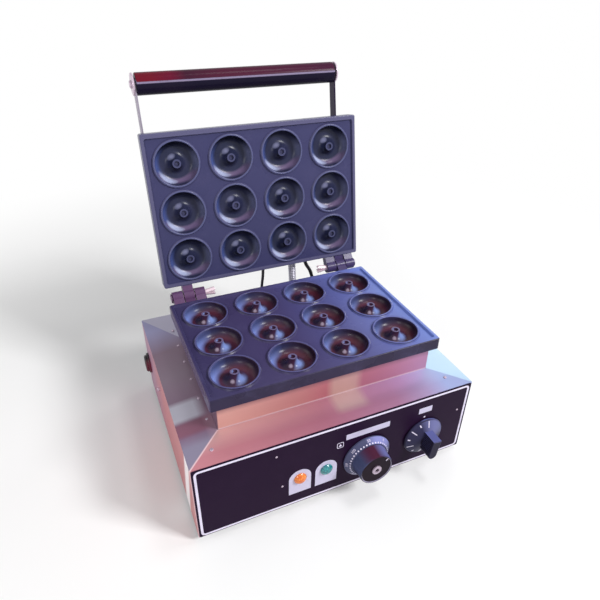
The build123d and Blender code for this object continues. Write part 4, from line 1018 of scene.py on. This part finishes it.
# Painted light on the timer knob: painted highlights on the skirt's upper right and on top of the bar, and
# painted shade on the bar's face and left flank.
TIMER_PAINTED_LIGHT = (
    Cast("upper right of the skirt", paint(110, 112, 160), faces=(Span((0.3, -0.88, 0.36), 0.9, 1.0),)),
    Cast("face of the bar", TIMER_PAINTED_SHADE, faces=(Span(FRONT, 0.965, 0.985),)),
    Cast("left flank of the bar", TIMER_PAINTED_SHADE, faces=(Span(LEFT, 0.5, 0.8),)),
    Cast("top of the bar", paint(94, 98, 154), faces=(Span((0.16, 0.0, 0.99), 0.9, 0.97),)),
)
# The pins' outer ends painted in the knuckles' colours, which on the left is a painted plum reflection.
PIN_CASTS = (
    Cast("outer end on the right", KNUCKLE, lies=(Span(RIGHT, 0.131, 0.132),)),
    Cast("outer end on the left", LEFT_KNUCKLE_REFLECTION, lies=(Span(LEFT, 0.1245, 0.1255),)),
)
# A painted red reflection on the gland's front.
GLAND_PAINTED_REFLECTION = (Cast("front", paint(110, 36, 58), faces=(Span(FRONT, 0.3, 0.9),)),)

# Most finishes below lay the painted reflections, highlights and shade of the casts above over their own
# colour.
CASING_STEEL = SheetSteel("casing_steel", casts=CASING_PAINTED_REFLECTIONS)
WALL_STEEL = SheetSteel("wall_steel", grain=Grain.ALONG_Z, casts=CASING_PAINTED_REFLECTIONS)
COLLAR_STEEL = SheetSteel("collar_steel", casts=COLLAR_PAINTED_LIGHT)
INNER_STEEL = SheetSteel("inner_steel", plain=paint(176, 168, 178))
ARM_STEEL = SheetSteel("arm_steel", grain=Grain.ALONG_Z, plain=paint(150, 142, 158))
# A dark copy of the arm's steel: painted shade on the right arm, which is the same steel as the left.
RIGHT_ARM_SHADED_STEEL = SheetSteel("right_arm_shaded_steel", grain=Grain.ALONG_Z, plain=paint(38, 29, 50), metallic=1.0)
FASTENER_STEEL = BareMetal("fastener_steel", paint(196, 178, 196), paint(168, 152, 170))
BRIGHT_STEEL = BareMetal("bright_steel", paint(204, 184, 200), paint(178, 158, 178))
PIN_STEEL = BareMetal("pin_steel", paint(240, 218, 228), paint(214, 182, 200), metallic=0.2, casts=PIN_CASTS)
HEATER_STEEL = BareMetal("heater_steel", paint(120, 112, 104), paint(84, 72, 66), roughness=0.45)
CONDUIT_STEEL = BareMetal("conduit_steel", paint(186, 184, 196), paint(128, 124, 138), roughness=0.3)
COPPER_TUBE = BareMetal("copper_tube", paint(200, 140, 108), paint(150, 98, 76), roughness=0.3)
LOWER_COAT = CoatedCasting("lower_coat", paint(66, 57, 98), paint(96, 92, 134), LOWER_PAINTED_LIGHT_AND_TINTS, along=REAR,
                           along_middle=GRID.y, across_middle=GRID.x)
UPPER_COAT = CoatedCasting("upper_coat", paint(58, 58, 96), paint(84, 80, 116), UPPER_PAINTED_LIGHT_AND_TINTS, along=LID_UP,
                           along_middle=LID_GRID, across_middle=GRID.x)
PANEL_FILM = MouldedPlastic("panel_film", paint(32, 14, 40), paint(42, 24, 50), roughness=0.38,
                            specular=0.05, pebble=0.02)
HANDLE_PLASTIC = MouldedPlastic("handle_plastic", paint(24, 20, 40), paint(40, 28, 46), roughness=0.24,
                                specular=0.06, pebble=0.02, casts=HANDLE_PAINTED_REFLECTIONS)
KNOB_PLASTIC = MouldedPlastic("knob_plastic", paint(24, 10, 24), paint(36, 22, 36), roughness=0.3,
                              specular=0.06, casts=KNOB_PAINTED_REFLECTIONS)
DIAL_PLASTIC = MouldedPlastic("dial_plastic", paint(74, 76, 106), paint(90, 92, 120), roughness=0.34,
                              specular=0.12, casts=DIAL_PAINTED_HIGHLIGHT)
TIMER_PLASTIC = MouldedPlastic("timer_plastic", paint(48, 46, 74), paint(62, 60, 86), roughness=0.34,
                               specular=0.08, casts=TIMER_PAINTED_LIGHT)
GLAND_PLASTIC = MouldedPlastic("gland_plastic", paint(24, 20, 26), paint(44, 36, 44), specular=0.25,
                               casts=GLAND_PAINTED_REFLECTION)
CONTROL_PLASTIC = MouldedPlastic("control_plastic", paint(188, 180, 164), paint(160, 150, 134), roughness=0.5)
BLACK_PLASTIC = MouldedPlastic("black_plastic", paint(30, 28, 34), paint(52, 50, 58), roughness=0.4)
SOFT_RUBBER = MouldedPlastic("soft_rubber", paint(36, 36, 38), paint(60, 60, 62), roughness=0.7, pebble=0.2,
                             scale=900.0)
AMBER_LENS = LampLens("amber_lens_tint", paint(246, 150, 40), paint(214, 96, 16))
GREEN_LENS = LampLens("green_lens_tint", paint(50, 160, 158), paint(24, 110, 120))
PAD_FELT = Felt("pad_felt", paint(226, 222, 208), paint(190, 184, 168))
WHITE_INK = PrintedInk("white_ink", paint(222, 214, 236), paint(170, 160, 186))
GREY_INK = PrintedInk("grey_ink", paint(196, 190, 216), paint(160, 154, 178))
PALE_FLOOR = PaleFloor("pale_floor")

FINISHED_NODES: tuple[tuple[Finish, tuple[str, ...]], ...] = (
    (WALL_STEEL, ("body_wrap",)),
    (CASING_STEEL, ("top_cover", "front_panel")),
    (COLLAR_STEEL, ("plate_collar",)),
    (INNER_STEEL, ("bottom_plate", "lower_heat_shield", "lid_cover")),
    (ARM_STEEL, ("handle_arm_left",)),
    (RIGHT_ARM_SHADED_STEEL, ("handle_arm_right",)),
    (FASTENER_STEEL, ("collar_rivets", "panel_rivets", "support_pillars", "foot_screws", "cover_screws",
                      "plate_screws", "lower_clamp_bolts", "control_screws", "lamp_nuts", "upper_standoffs",
                      "lid_cover_screws", "arm_screws", "knob_ring")),
    (BRIGHT_STEEL, ("wall_screws", "handle_rod", "handle_nuts", "handle_caps", "thermostat_spindle",
                    "timer_spindle")),
    (PIN_STEEL, ("hinge_pins",)),
    (HEATER_STEEL, ("lower_heater", "lower_heater_clamp", "upper_heater", "upper_heater_clamp")),
    (CONDUIT_STEEL, ("conduit", "conduit_base_fitting", "conduit_lid_fitting")),
    (COPPER_TUBE, ("thermostat_capillary",)),
    (LOWER_COAT, ("lower_plate",)),
    (UPPER_COAT, ("upper_plate",)),
    (PANEL_FILM, ("panel_overlay",)),
    (HANDLE_PLASTIC, ("handle_grip",)),
    (KNOB_PLASTIC, ("temperature_knob",)),
    (DIAL_PLASTIC, ("temperature_dial",)),
    (TIMER_PLASTIC, ("timer_knob",)),
    (GLAND_PLASTIC, ("cord_gland",)),
    (CONTROL_PLASTIC, ("thermostat_body", "timer_body", "lamp_bodies", "terminal_block")),
    (BLACK_PLASTIC, ("wiring", "gland_nut", "earth_lead", "sensor_lead")),
    (SOFT_RUBBER, ("rubber_feet", "base_grommets", "lid_grommets")),
    (AMBER_LENS, ("amber_lens",)),
    (GREEN_LENS, ("green_lens",)),
    (PAD_FELT, ("lower_insulation", "upper_insulation")),
)


def linked(mesh: bpy.types.Mesh, finish: Finish, effects: EffectLibrary) -> bpy.types.Object:
    """Puts a mesh into the scene under its own name, with its finish.

    Args:
        mesh: The mesh.
        finish: Its finish.
        effects: The shared node groups.

    Returns:
        The new object.
    """
    piece = bpy.data.objects.new(mesh.name, mesh)
    bpy.context.scene.collection.objects.link(piece)
    mesh.materials.append(finish.material(effects))
    return piece


def publish(mesh: bpy.types.Mesh, finish: Finish, body: Body, effects: EffectLibrary) -> None:
    """Makes a mesh a piece that rides on a body.

    Args:
        mesh: The piece's mesh, which gives it its name.
        finish: Its finish.
        body: The body that carries it.
        effects: The shared node groups.
    """
    piece = linked(mesh, finish, effects)
    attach(piece, body.value)
    log.info("piece %s on %s", piece.name, body.value)


def mesh_from(name: str, shape: bmesh.types.BMesh) -> bpy.types.Mesh:
    """Turns a drawn shape into a mesh and lets the drawing go.

    Args:
        name: The mesh's name.
        shape: What was drawn.

    Returns:
        The mesh.
    """
    mesh = bpy.data.meshes.new(name)
    shape.to_mesh(mesh)
    shape.free()
    return mesh


def mesh_of(curve: bpy.types.Curve) -> bpy.types.Mesh:
    """Turns a curve or a text into a mesh and removes it.

    Args:
        curve: The curve or text.

    Returns:
        The mesh.
    """
    holder = bpy.data.objects.new(curve.name, curve)
    mesh = bpy.data.meshes.new_from_object(holder)
    bpy.data.objects.remove(holder)
    bpy.data.curves.remove(curve)
    return mesh


def strip(shape: bmesh.types.BMesh, first: Sequence[bmesh.types.BMVert],
          second: Sequence[bmesh.types.BMVert]) -> None:
    """Joins two rings of as many corners with quads.

    Args:
        shape: The shape that the rings belong to.
        first: Corners of one ring.
        second: Corners of the other.
    """
    for index in range(len(first)):
        after = (index + 1) % len(first)
        shape.faces.new((first[index], first[after], second[after], second[index]))


def facing_front(place: Vector) -> Matrix:
    """The matrix of an upright plane at a place, with its third axis towards the front."""
    return Matrix(((1, 0, 0, place.x), (0, 0, -1, place.y), (0, 1, 0, place.z), (0, 0, 0, 1)))


def arc(centre: Point, radius: float, start: float, end: float, steps: int = 10) -> list[Point]:
    """Points along an arc, angles in degrees.

    Args:
        centre: The arc's centre.
        radius: Its radius.
        start: First angle from the first axis.
        end: Last angle.
        steps: Number of stretches.

    Returns:
        The points in order.
    """
    points = []
    for step in range(steps + 1):
        angle = math.radians(start + (end - start) * step / steps)
        points.append((centre[0] + radius * math.cos(angle), centre[1] + radius * math.sin(angle)))
    return points


def circle(centre: Point, radius: float, corners: int) -> list[Point]:
    """Points round a circle."""
    return arc(centre, radius, 0, 360 - 360 / corners, corners - 1)


def rounded_rectangle(low: Point, high: Point, radius: float) -> list[Point]:
    """Outline of a rectangle with round corners, counter-clockwise.

    Args:
        low: Its lowest corner.
        high: Its highest corner.
        radius: The corners' radius.

    Returns:
        The points in order.
    """
    left, right = low[0] + radius, high[0] - radius
    bottom, top = low[1] + radius, high[1] - radius
    return (arc((right, bottom), radius, -90, 0) + arc((right, top), radius, 0, 90)
            + arc((left, top), radius, 90, 180) + arc((left, bottom), radius, 180, 270))


@dataclass
class PrintSheet:
    """Draws flat ink shapes as thin raised films on one plane.

    Shapes are given in the plane's own two axes, and the place matrix puts them on the object with the
    film's thickness along the matrix's third axis.
    """

    place: Matrix = field(default_factory=Matrix)
    thickness: float = 0.12 * MM
    shape: bmesh.types.BMesh = field(default_factory=bmesh.new)

    def ring(self, points: Sequence[Point], height: float) -> list[bmesh.types.BMVert]:
        """Corners over the given points, at a height over the plane."""
        return [self.shape.verts.new(self.place @ Vector((x, y, height))) for x, y in points]

    def patch(self, outline: Sequence[Point], hole: Sequence[Point] | None = None) -> None:
        """Adds one closed patch, with at most one hole.

        Args:
            outline: Points of the outer edge.
            hole: Points of the inner edge, as many as the outline has.
        """
        top, bottom = self.ring(outline, self.thickness), self.ring(outline, 0.0)
        if hole is None:
            self.shape.faces.new(top)
            self.shape.faces.new(bottom[::-1])
        else:
            hole_top, hole_bottom = self.ring(hole, self.thickness), self.ring(hole, 0.0)
            strip(self.shape, top, hole_top)
            strip(self.shape, hole_bottom, bottom)
            strip(self.shape, hole_top, hole_bottom)
        strip(self.shape, bottom, top)

    def finished(self, name: str) -> bpy.types.Mesh:
        """Turns what was drawn into a mesh with outward faces."""
        bmesh.ops.recalc_face_normals(self.shape, faces=self.shape.faces)
        return mesh_from(name, self.shape)


@dataclass
class PanelPrint:
    """The print on the control panel's black film, x from the casing's middle and y from the floor."""

    film: str = "panel_overlay"
    border_inset: float = 2.2 * MM
    border_foot: float = 1.0 * MM
    border_width: float = 2.7 * MM
    border_radius: float = 5.6 * MM
    lenses: tuple[str, str] = ("amber_lens", "green_lens")
    arch_width: float = 27.5 * MM
    arch_foot: float = 26.0 * MM
    arch_steps: int = 24
    long_bar: tuple[Point, Point] = ((3.0 * MM, 86.5 * MM), (60.0 * MM, 94.8 * MM))
    short_bar: tuple[Point, Point] = ((100.0 * MM, 89.5 * MM), (118.5 * MM, 98.0 * MM))
    bar_radius: float = 0.4 * MM
    index_place: Point = (-4.1 * MM, 81.5 * MM)
    index_size: float = 8.6 * MM
    index_radius: float = 2.0 * MM
    index_line: float = 0.7 * MM
    arrow_half: float = 2.15 * MM
    arrow_foot: float = 1.935 * MM
    dot_place: Point = (109.5 * MM, 82.2 * MM)
    dot_radius: float = 1.3 * MM
    dot_corners: int = 24

    def sheet(self) -> PrintSheet:
        """A print sheet on the film's face."""
        low, _ = node_box(self.film)
        return PrintSheet(facing_front(Vector((node_centre(self.film).x, low.y, 0))))

    def border_line(self, inset: float) -> list[Point]:
        """The border's outer line, or one further in.

        Args:
            inset: How far the line lies inside the outer one.

        Returns:
            The line's points.
        """
        low, high = node_box(self.film)
        half = (high.x - low.x) / 2 - self.border_inset - inset
        foot = low.z + self.border_foot + inset
        head = high.z - self.border_inset - inset
        return rounded_rectangle((-half, foot), (half, head), self.border_radius - inset)

    def border(self) -> bpy.types.Mesh:
        """The pale border round the panel.

        Returns:
            The mesh.
        """
        sheet = self.sheet()
        sheet.patch(self.border_line(0.0), self.border_line(self.border_width))
        return sheet.finished("panel_border")

    def fields(self) -> bpy.types.Mesh:
        """The arched fields of the lamps and the bars over the knobs.

        Returns:
            The mesh.
        """
        sheet = self.sheet()
        half = self.arch_width / 2
        for lens in self.lenses:
            centre = node_centre(lens)
            x = centre.x - node_centre(self.film).x
            foot = [(x - half, self.arch_foot), (x + half, self.arch_foot)]
            sheet.patch(foot + arc((x, centre.z), half, 0, 180, self.arch_steps))
        for low, high in (self.long_bar, self.short_bar):
            sheet.patch(rounded_rectangle(low, high, self.bar_radius))
        return sheet.finished("label_fields")

    def indexes(self) -> bpy.types.Mesh:
        """The framed arrow by the temperature dial and the dot by the timer.

        Returns:
            The mesh.
        """
        sheet = self.sheet()
        x, y = self.index_place
        outer = self.index_size / 2
        inner = outer - self.index_line
        sheet.patch(rounded_rectangle((x - outer, y - outer), (x + outer, y + outer), self.index_radius),
                    rounded_rectangle((x - inner, y - inner), (x + inner, y + inner),
                                      self.index_radius - self.index_line))
        sheet.patch([(x - self.arrow_half, y - self.arrow_foot), (x + self.arrow_half, y - self.arrow_foot),
                     (x, y + self.arrow_half)])
        sheet.patch(circle(self.dot_place, self.dot_radius, self.dot_corners))
        return sheet.finished("panel_indexes")

    def build(self, effects: EffectLibrary) -> None:
        """Prints the film."""
        for mesh, ink in ((self.border(), WHITE_INK), (self.fields(), GREY_INK), (self.indexes(), WHITE_INK)):
            publish(mesh, ink, Body.BASE, effects)


@dataclass(frozen=True)
class DialFace:
    """A dial's round face, flat or coned, that print lies on.

    The face's front is its y at the given radius, and it falls back by `fall` for each unit further out.
    """

    node: str
    front: float
    radius: float = 0.0
    fall: float = 0.0

    def along(self, distance: float) -> float:
        """A distance out from the dial's axis, measured along the face."""
        return distance * math.hypot(1.0, self.fall)

    def at(self, radius: float, turn: float) -> Matrix:
        """A place on the face, its second axis pointing outwards along the face.

        Args:
            radius: Distance from the dial's axis.
            turn: Degrees clockwise from the top, seen from the front.

        Returns:
            The place's matrix.
        """
        centre = node_centre(self.node)
        face = facing_front(Vector((centre.x, self.front, centre.z)))
        turned = face @ Matrix.Rotation(math.radians(-turn), 4, "Z") @ Matrix.Translation((0, self.radius, 0))
        sloped = turned @ Matrix.Rotation(-math.atan(self.fall), 4, "X")
        return sloped @ Matrix.Translation((0, self.along(radius - self.radius), 0))


@dataclass
class TemperatureScale:
    """The numbers, dots and pointer of the temperature dial."""

    numbers: tuple[int, ...] = (0, 50, 100, 150, 200, 250, 300)
    first_turn: float = 42.0
    step_turn: float = -45.0
    number_height: float = 4.4 * MM
    number_half: float = 0.06 * MM
    number_steps: int = 3
    number_radius: float = 27.9 * MM
    dot_radius: float = 25.0 * MM
    dot_size: float = 0.95 * MM
    dot_corners: int = 12
    dot_turn: float = 9.0
    face_radius: float = 24.0 * MM
    rim_radius: float = 30.5 * MM
    rim_drop: float = 5.4 * MM
    pointer_turn: float = 50.0
    pointer_reach: tuple[float, float] = (15.2 * MM, 18.9 * MM)
    pointer_width: float = 1.5 * MM
    knob_recess: float = 0.8 * MM

    def face(self) -> DialFace:
        """The dial's coned face."""
        fall = self.rim_drop / (self.rim_radius - self.face_radius)
        return DialFace("temperature_dial", node_box("temperature_dial")[0].y, self.face_radius, fall)

    def number_mesh(self, number: int, place: Matrix) -> bpy.types.Mesh:
        """One number as a thin mesh, upright seen from the dial's rim.

        Args:
            number: The number to write.
            place: Where its middle goes.

        Returns:
            The mesh in place.
        """
        text = bpy.data.curves.new(f"number_{number}", "FONT")
        text.body = str(number)
        text.size = self.number_height
        text.align_x = "CENTER"
        text.align_y = "CENTER"
        text.extrude = self.number_half
        text.resolution_u = self.number_steps
        mesh = mesh_of(text)
        mesh.transform(place)
        return mesh

    def dial_numbers(self) -> bpy.types.Mesh:
        """All numbers round the dial.

        Returns:
            The mesh.
        """
        shape = bmesh.new()
        for index, number in enumerate(self.numbers):
            turn = self.first_turn + index * self.step_turn
            mesh = self.number_mesh(number, self.face().at(self.number_radius, turn))
            shape.from_mesh(mesh)
            bpy.data.meshes.remove(mesh)
        return mesh_from("dial_numbers", shape)

    def dial_dots(self) -> bpy.types.Mesh:
        """The ring of dots inside the numbers.

        Returns:
            The mesh.
        """
        sheet = PrintSheet()
        for index in range(round(360 / self.dot_turn)):
            sheet.place = self.face().at(self.dot_radius, self.first_turn + index * self.dot_turn)
            sheet.patch(circle((0, 0), self.dot_size, self.dot_corners))
        return sheet.finished("dial_dots")

    def knob_pointer(self) -> bpy.types.Mesh:
        """The line on the knob's recessed top.

        Returns:
            The mesh.
        """
        top = DialFace("temperature_knob", node_box("temperature_knob")[0].y + self.knob_recess)
        sheet = PrintSheet(top.at(0.0, self.pointer_turn))
        half = self.pointer_width / 2
        inner, outer = self.pointer_reach
        sheet.patch([(-half, inner), (half, inner), (half, outer), (-half, outer)])
        return sheet.finished("knob_pointer")

    def build(self, effects: EffectLibrary) -> None:
        """Prints the scale and the knob's pointer."""
        for mesh in (self.dial_numbers(), self.dial_dots(), self.knob_pointer()):
            publish(mesh, WHITE_INK, Body.TEMPERATURE, effects)


@dataclass
class TimerScale:
    """The long and short ticks on the timer's coned skirt."""

    first_turn: float = 9.0
    step_turn: float = -30.0
    count: int = 9
    long_reach: tuple[float, float] = (17.2 * MM, 25.0 * MM)
    short_reach: tuple[float, float] = (21.1 * MM, 24.0 * MM)
    long_width: float = 1.2 * MM
    short_width: float = 1.7 * MM
    rim_radius: float = 25.6 * MM
    rim_height: float = 2.6 * MM
    hub_radius: float = 9.0 * MM
    cone_height: float = 7.0 * MM

    def build(self, effects: EffectLibrary) -> None:
        """Prints the ticks on the skirt.

        Args:
            effects: The shared node groups.
        """
        _, high = node_box("timer_knob")
        skirt = DialFace("timer_knob", high.y - self.rim_height, self.rim_radius,
                         self.cone_height / (self.rim_radius - self.hub_radius))
        sheet = PrintSheet()
        for index in range(self.count):
            is_long = index % 2 == 0
            inner, outer = self.long_reach if is_long else self.short_reach
            half = (self.long_width if is_long else self.short_width) / 2
            length = skirt.along(outer - inner)
            sheet.place = skirt.at(inner, self.first_turn + index * self.step_turn)
            sheet.patch([(-half, 0.0), (half, 0.0), (half, length), (-half, length)])
        publish(sheet.finished("timer_ticks"), WHITE_INK, Body.TIMER, effects)


@dataclass
class FlexibleRun:
    """A conduit or lead between the casing and the lid, swept as a fixed mesh for the open lid."""

    node: str
    slot: str
    finish: Finish
    route: list[Vector]
    ends: tuple[Vector, Vector]
    radius: float
    rib_pitch: float = 0.0
    rib_depth: float = 0.0
    rings_per_rib: int = 6
    sides: int = 16
    ring_step: float = 1.5 * MM
    line_order: int = 3
    line_steps: int = 24
    shortest: float = 1e-9

    def centre_line(self) -> list[Vector]:
        """Points along a smooth line through the route's corners.

        Returns:
            The points in order.
        """
        curve = bpy.data.curves.new(f"{self.node}_line", "CURVE")
        curve.dimensions = "3D"
        curve.resolution_u = self.line_steps
        spline = curve.splines.new("NURBS")
        spline.points.add(len(self.route) - 1)
        for point, place in zip(spline.points, self.route):
            point.co = (*place, 1.0)
        spline.order_u = self.line_order
        spline.use_endpoint_u = True
        mesh = mesh_of(curve)
        points = [vertex.co.copy() for vertex in mesh.vertices]
        bpy.data.meshes.remove(mesh)
        return points

    def even_points(self) -> list[Vector]:
        """The centre line divided into even stretches, several for each rib.

        Returns:
            The points between the stretches.
        """
        step = self.rib_pitch / self.rings_per_rib if self.rib_pitch else self.ring_step
        line = self.centre_line()
        lengths = [0.0]
        for before, after in zip(line, line[1:]):
            lengths.append(lengths[-1] + (after - before).length)
        count = max(int(lengths[-1] / step), 2)
        points, index = [], 0
        for mark in range(count + 1):
            target = lengths[-1] * mark / count
            while index < len(line) - 2 and lengths[index + 1] < target:
                index += 1
            share = (target - lengths[index]) / max(lengths[index + 1] - lengths[index], self.shortest)
            points.append(line[index].lerp(line[index + 1], share))
        return points

    def ring_radius(self, index: int) -> float:
        """Radius of one ring, between crest and groove where the run has ribs.

        Args:
            index: The ring's place along the run.

        Returns:
            The radius.
        """
        if not self.rib_pitch:
            return self.radius
        crest = 0.5 + 0.5 * math.cos(2 * math.pi * index / self.rings_per_rib)
        return self.radius - self.rib_depth * (1 - crest)

    def ring(self, points: Sequence[Vector], index: int) -> list[Vector]:
        """Corners of one ring, square to the centre line.

        Args:
            points: The centre line's even points.
            index: Which of them the ring goes round.

        Returns:
            The corners in order.
        """
        ahead = points[min(index + 1, len(points) - 1)] - points[max(index - 1, 0)]
        forward = ahead.normalized()
        up = forward.cross(Vector(RIGHT)).normalized()
        side = up.cross(forward).normalized()
        radius = self.ring_radius(index)
        angles = [2 * math.pi * corner / self.sides for corner in range(self.sides)]
        return [points[index] + radius * (math.cos(angle) * side + math.sin(angle) * up) for angle in angles]

    def swept(self) -> bpy.types.Mesh:
        """The run's smooth skin with closed ends.

        Returns:
            The mesh.
        """
        points = self.even_points()
        shape = bmesh.new()
        rings = []
        for index in range(len(points)):
            rings.append([shape.verts.new(corner) for corner in self.ring(points, index)])
        for first, second in zip(rings, rings[1:]):
            strip(shape, first, second)
        shape.faces.new(rings[0][::-1])
        shape.faces.new(rings[-1])
        bmesh.ops.recalc_face_normals(shape, faces=shape.faces)
        for face in shape.faces:
            face.smooth = True
        return mesh_from(f"{self.node}_run", shape)

    def build(self, effects: EffectLibrary) -> None:
        """Sweeps the run between casing and lid as a fixed mesh and stands it in for its node.

        Args:
            effects: The shared node groups.
        """
        piece = linked(self.swept(), self.finish, effects)
        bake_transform(piece)
        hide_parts(self.node)
        log.info("piece %s bends from base to lid", piece.name)


@dataclass
class LidRuns:
    """The conduit and the two leads between the casing's rear slope and the lid's rear wall."""

    cover_back: float = 23.0 * MM
    entry_lift: float = 24.5 * MM
    collar_flange: float = 12.0 * MM
    hip_rise: float = 4.6 * MM
    conduit_seat: float = 5.0 * MM
    conduit_radius: float = 5.6 * MM
    conduit_pitch: float = 2.6 * MM
    conduit_groove: float = 0.7 * MM
    fitting_height: float = 7.0 * MM
    tail: float = 9.0 * MM
    earth_radius: float = 2.0 * MM
    earth_reach: tuple[float, float] = (20.0 * MM, 16.0 * MM)
    sensor_radius: float = 2.6 * MM
    sensor_reach: tuple[float, float] = (30.0 * MM, 14.0 * MM)

    def places(self) -> tuple[Vector, Vector, Vector]:
        """Where runs leave the rear slope, turn and meet the lid, all at x = 0.

        Returns:
            The foot on the slope, the knee and the entry at the lid.
        """
        cosine, sine = math.cos(LID_OPEN), math.sin(LID_OPEN)
        entry = Vector((0, HINGE.y + self.entry_lift * sine - self.cover_back * cosine,
                        HINGE.z + self.cover_back * sine + self.entry_lift * cosine))
        cover = node_box("top_cover")[1]
        crest = Vector((0, node_box("plate_collar")[1].y - self.collar_flange, cover.z))
        middle = (entry.z + cover.z - self.hip_rise) / 2
        reach = (entry.z - middle) / sine
        knee = Vector((0, entry.y + reach * cosine, middle))
        slope = self.slope_up()
        return knee - slope * (knee - crest).dot(slope), knee, entry

    def slope_up(self) -> Vector:
        """The way that the rear slope faces."""
        run = node_box("top_cover")[1].y - node_box("plate_collar")[1].y + self.collar_flange
        return Vector((0, self.hip_rise, run)).normalized()

    def build(self, effects: EffectLibrary) -> None:
        """Routes each run between its own node's ends.

        Args:
            effects: The shared node groups.
        """
        foot, knee, entry = self.places()
        up, out = self.slope_up(), Vector(LID_DOWN)
        ends = (foot + up * self.fitting_height, entry + out * self.fitting_height)
        across = Vector((node_centre("conduit").x, 0, 0))
        route = [across + foot + up * self.conduit_seat, across + knee,
                 across + entry + out * self.conduit_seat]
        FlexibleRun("conduit", CONDUIT_SLOT, CONDUIT_STEEL, route, ends, self.conduit_radius,
                    self.conduit_pitch, self.conduit_groove).build(effects)
        for node, radius, reach, leans_right in (
                ("earth_lead", self.earth_radius, self.earth_reach, False),
                ("sensor_lead", self.sensor_radius, self.sensor_reach, True)):
            low, high = node_box(node)
            sides = [Vector((low.x + radius, 0, 0)), Vector((high.x - radius, 0, 0))]
            base, lid = reversed(sides) if leans_right else sides
            route = [base + foot - up * self.tail, base + foot + up * reach[0],
                     lid + entry + out * reach[1], lid + entry - out * self.tail]
            FlexibleRun(node, LEAD_SLOT, BLACK_PLASTIC, route, ends, radius).build(effects)


@dataclass(frozen=True)
class Lamp:
    """A soft square lamp that looks at a height over the object's middle, in metres and watts."""

    name: str
    place: Direction
    aim: float
    side: float
    power: float

    def build(self) -> None:
        """Hangs the lamp and turns it."""
        data = bpy.data.lights.new(self.name, "AREA")
        data.size = self.side
        data.energy = self.power
        lamp = bpy.data.objects.new(self.name, data)
        lamp.location = self.place
        way = Vector((0.0, 0.0, self.aim)) - Vector(self.place)
        lamp.rotation_euler = way.to_track_quat("-Z", "Y").to_euler()
        bpy.context.scene.collection.objects.link(lamp)


@dataclass
class Stage:
    """The pale floor, the white surroundings, the lamps and the camera."""

    floor_half: float = 4.0
    ambient: float = 0.3
    lamps: tuple[Lamp, ...] = (
        Lamp("key", place=(1.6, -1.75, 2.05), aim=0.1, side=0.7, power=72.0),
        Lamp("top_fill", place=(0.4, -0.15, 1.55), aim=0.2, side=0.32, power=3.5),
        Lamp("right_fill", place=(1.1, 0.75, 0.42), aim=0.15, side=0.4, power=3.0),
        Lamp("front_fill", place=(-0.9, -0.95, 0.75), aim=0.15, side=0.3, power=3.0),
        Lamp("left_fill", place=(-1.5, 0.1, 0.55), aim=0.1, side=0.9, power=5.0),
    )
    azimuth: float = -24.0
    elevation: float = 32.46
    roll: float = 0.9
    lens: float = 31.49
    sensor: float = 36.0
    stand: Direction = (-216.1 * MM, -487.7 * MM, 372.3 * MM)

    def build(self, effects: EffectLibrary) -> None:
        """Sets the whole stage.

        Args:
            effects: The shared node groups.
        """
        self.floor(effects)
        self.surroundings()
        for lamp in self.lamps:
            lamp.build()
        self.camera()

    def floor(self, effects: EffectLibrary) -> None:
        """Lays a plain pale floor.

        Args:
            effects: The shared node groups.
        """
        half = self.floor_half
        corners = [(-half, -half, 0), (half, -half, 0), (half, half, 0), (-half, half, 0)]
        mesh = bpy.data.meshes.new("floor")
        mesh.from_pydata(corners, [], [(0, 1, 2, 3)])
        floor = linked(mesh, PALE_FLOOR, effects)

    def surroundings(self) -> None:
        """White where it is seen, also in metal and lenses, and a soft even light elsewhere."""
        world = bpy.data.worlds.new("surroundings")
        bpy.context.scene.world = world
        world.use_nodes = True
        graph = Graph(world.node_tree)
        background = world.node_tree.nodes["Background"]
        rays = graph.add("ShaderNodeLightPath").outputs
        mirrored = graph.math("MAXIMUM", rays["Is Glossy Ray"], rays["Is Transmission Ray"])
        seen = graph.math("MAXIMUM", rays["Is Camera Ray"], mirrored)
        graph.feed(background.inputs["Strength"], graph.ramp(seen, 0.0, 1.0, self.ambient, 1.0))
        graph.feed(background.inputs["Color"], WHITE)

    def camera(self) -> None:
        """The photograph's camera, placed from the middle of the lower cavities."""
        data = bpy.data.cameras.new("camera")
        data.lens = self.lens
        data.sensor_width = self.sensor
        data.sensor_fit = "HORIZONTAL"
        camera = bpy.data.objects.new("camera", data)
        turn = Matrix.Rotation(math.radians(self.azimuth), 4, "Z")
        tilt = Matrix.Rotation(math.radians(90 - self.elevation), 4, "X")
        roll = Matrix.Rotation(math.radians(self.roll), 4, "Z")
        camera.matrix_world = Matrix.Translation(GRID + Vector(self.stand)) @ turn @ tilt @ roll
        bpy.context.scene.collection.objects.link(camera)
        bpy.context.scene.camera = camera


def dress_nodes(effects: EffectLibrary) -> None:
    """Gives every CAD node its finish.

    Args:
        effects: The shared node groups.
    """
    finishes = {name: finish for finish, names in FINISHED_NODES for name in names}
    for name, node in frame["nodes"].items():
        node.data.materials.clear()
        node.data.materials.append(finishes[name].material(effects))
        log.info("node %s in %s", name, finishes[name].name)


def main() -> None:
    """Builds the looks in order."""
    logging.basicConfig(level=logging.INFO)
    bpy.context.scene.view_settings.view_transform = "Standard"
    effects = EffectLibrary()
    dress_nodes(effects)
    for assembly in (PanelPrint(), TemperatureScale(), TimerScale(), LidRuns(), Stage()):
        assembly.build(effects)


if __name__ == "__main__":
    main()
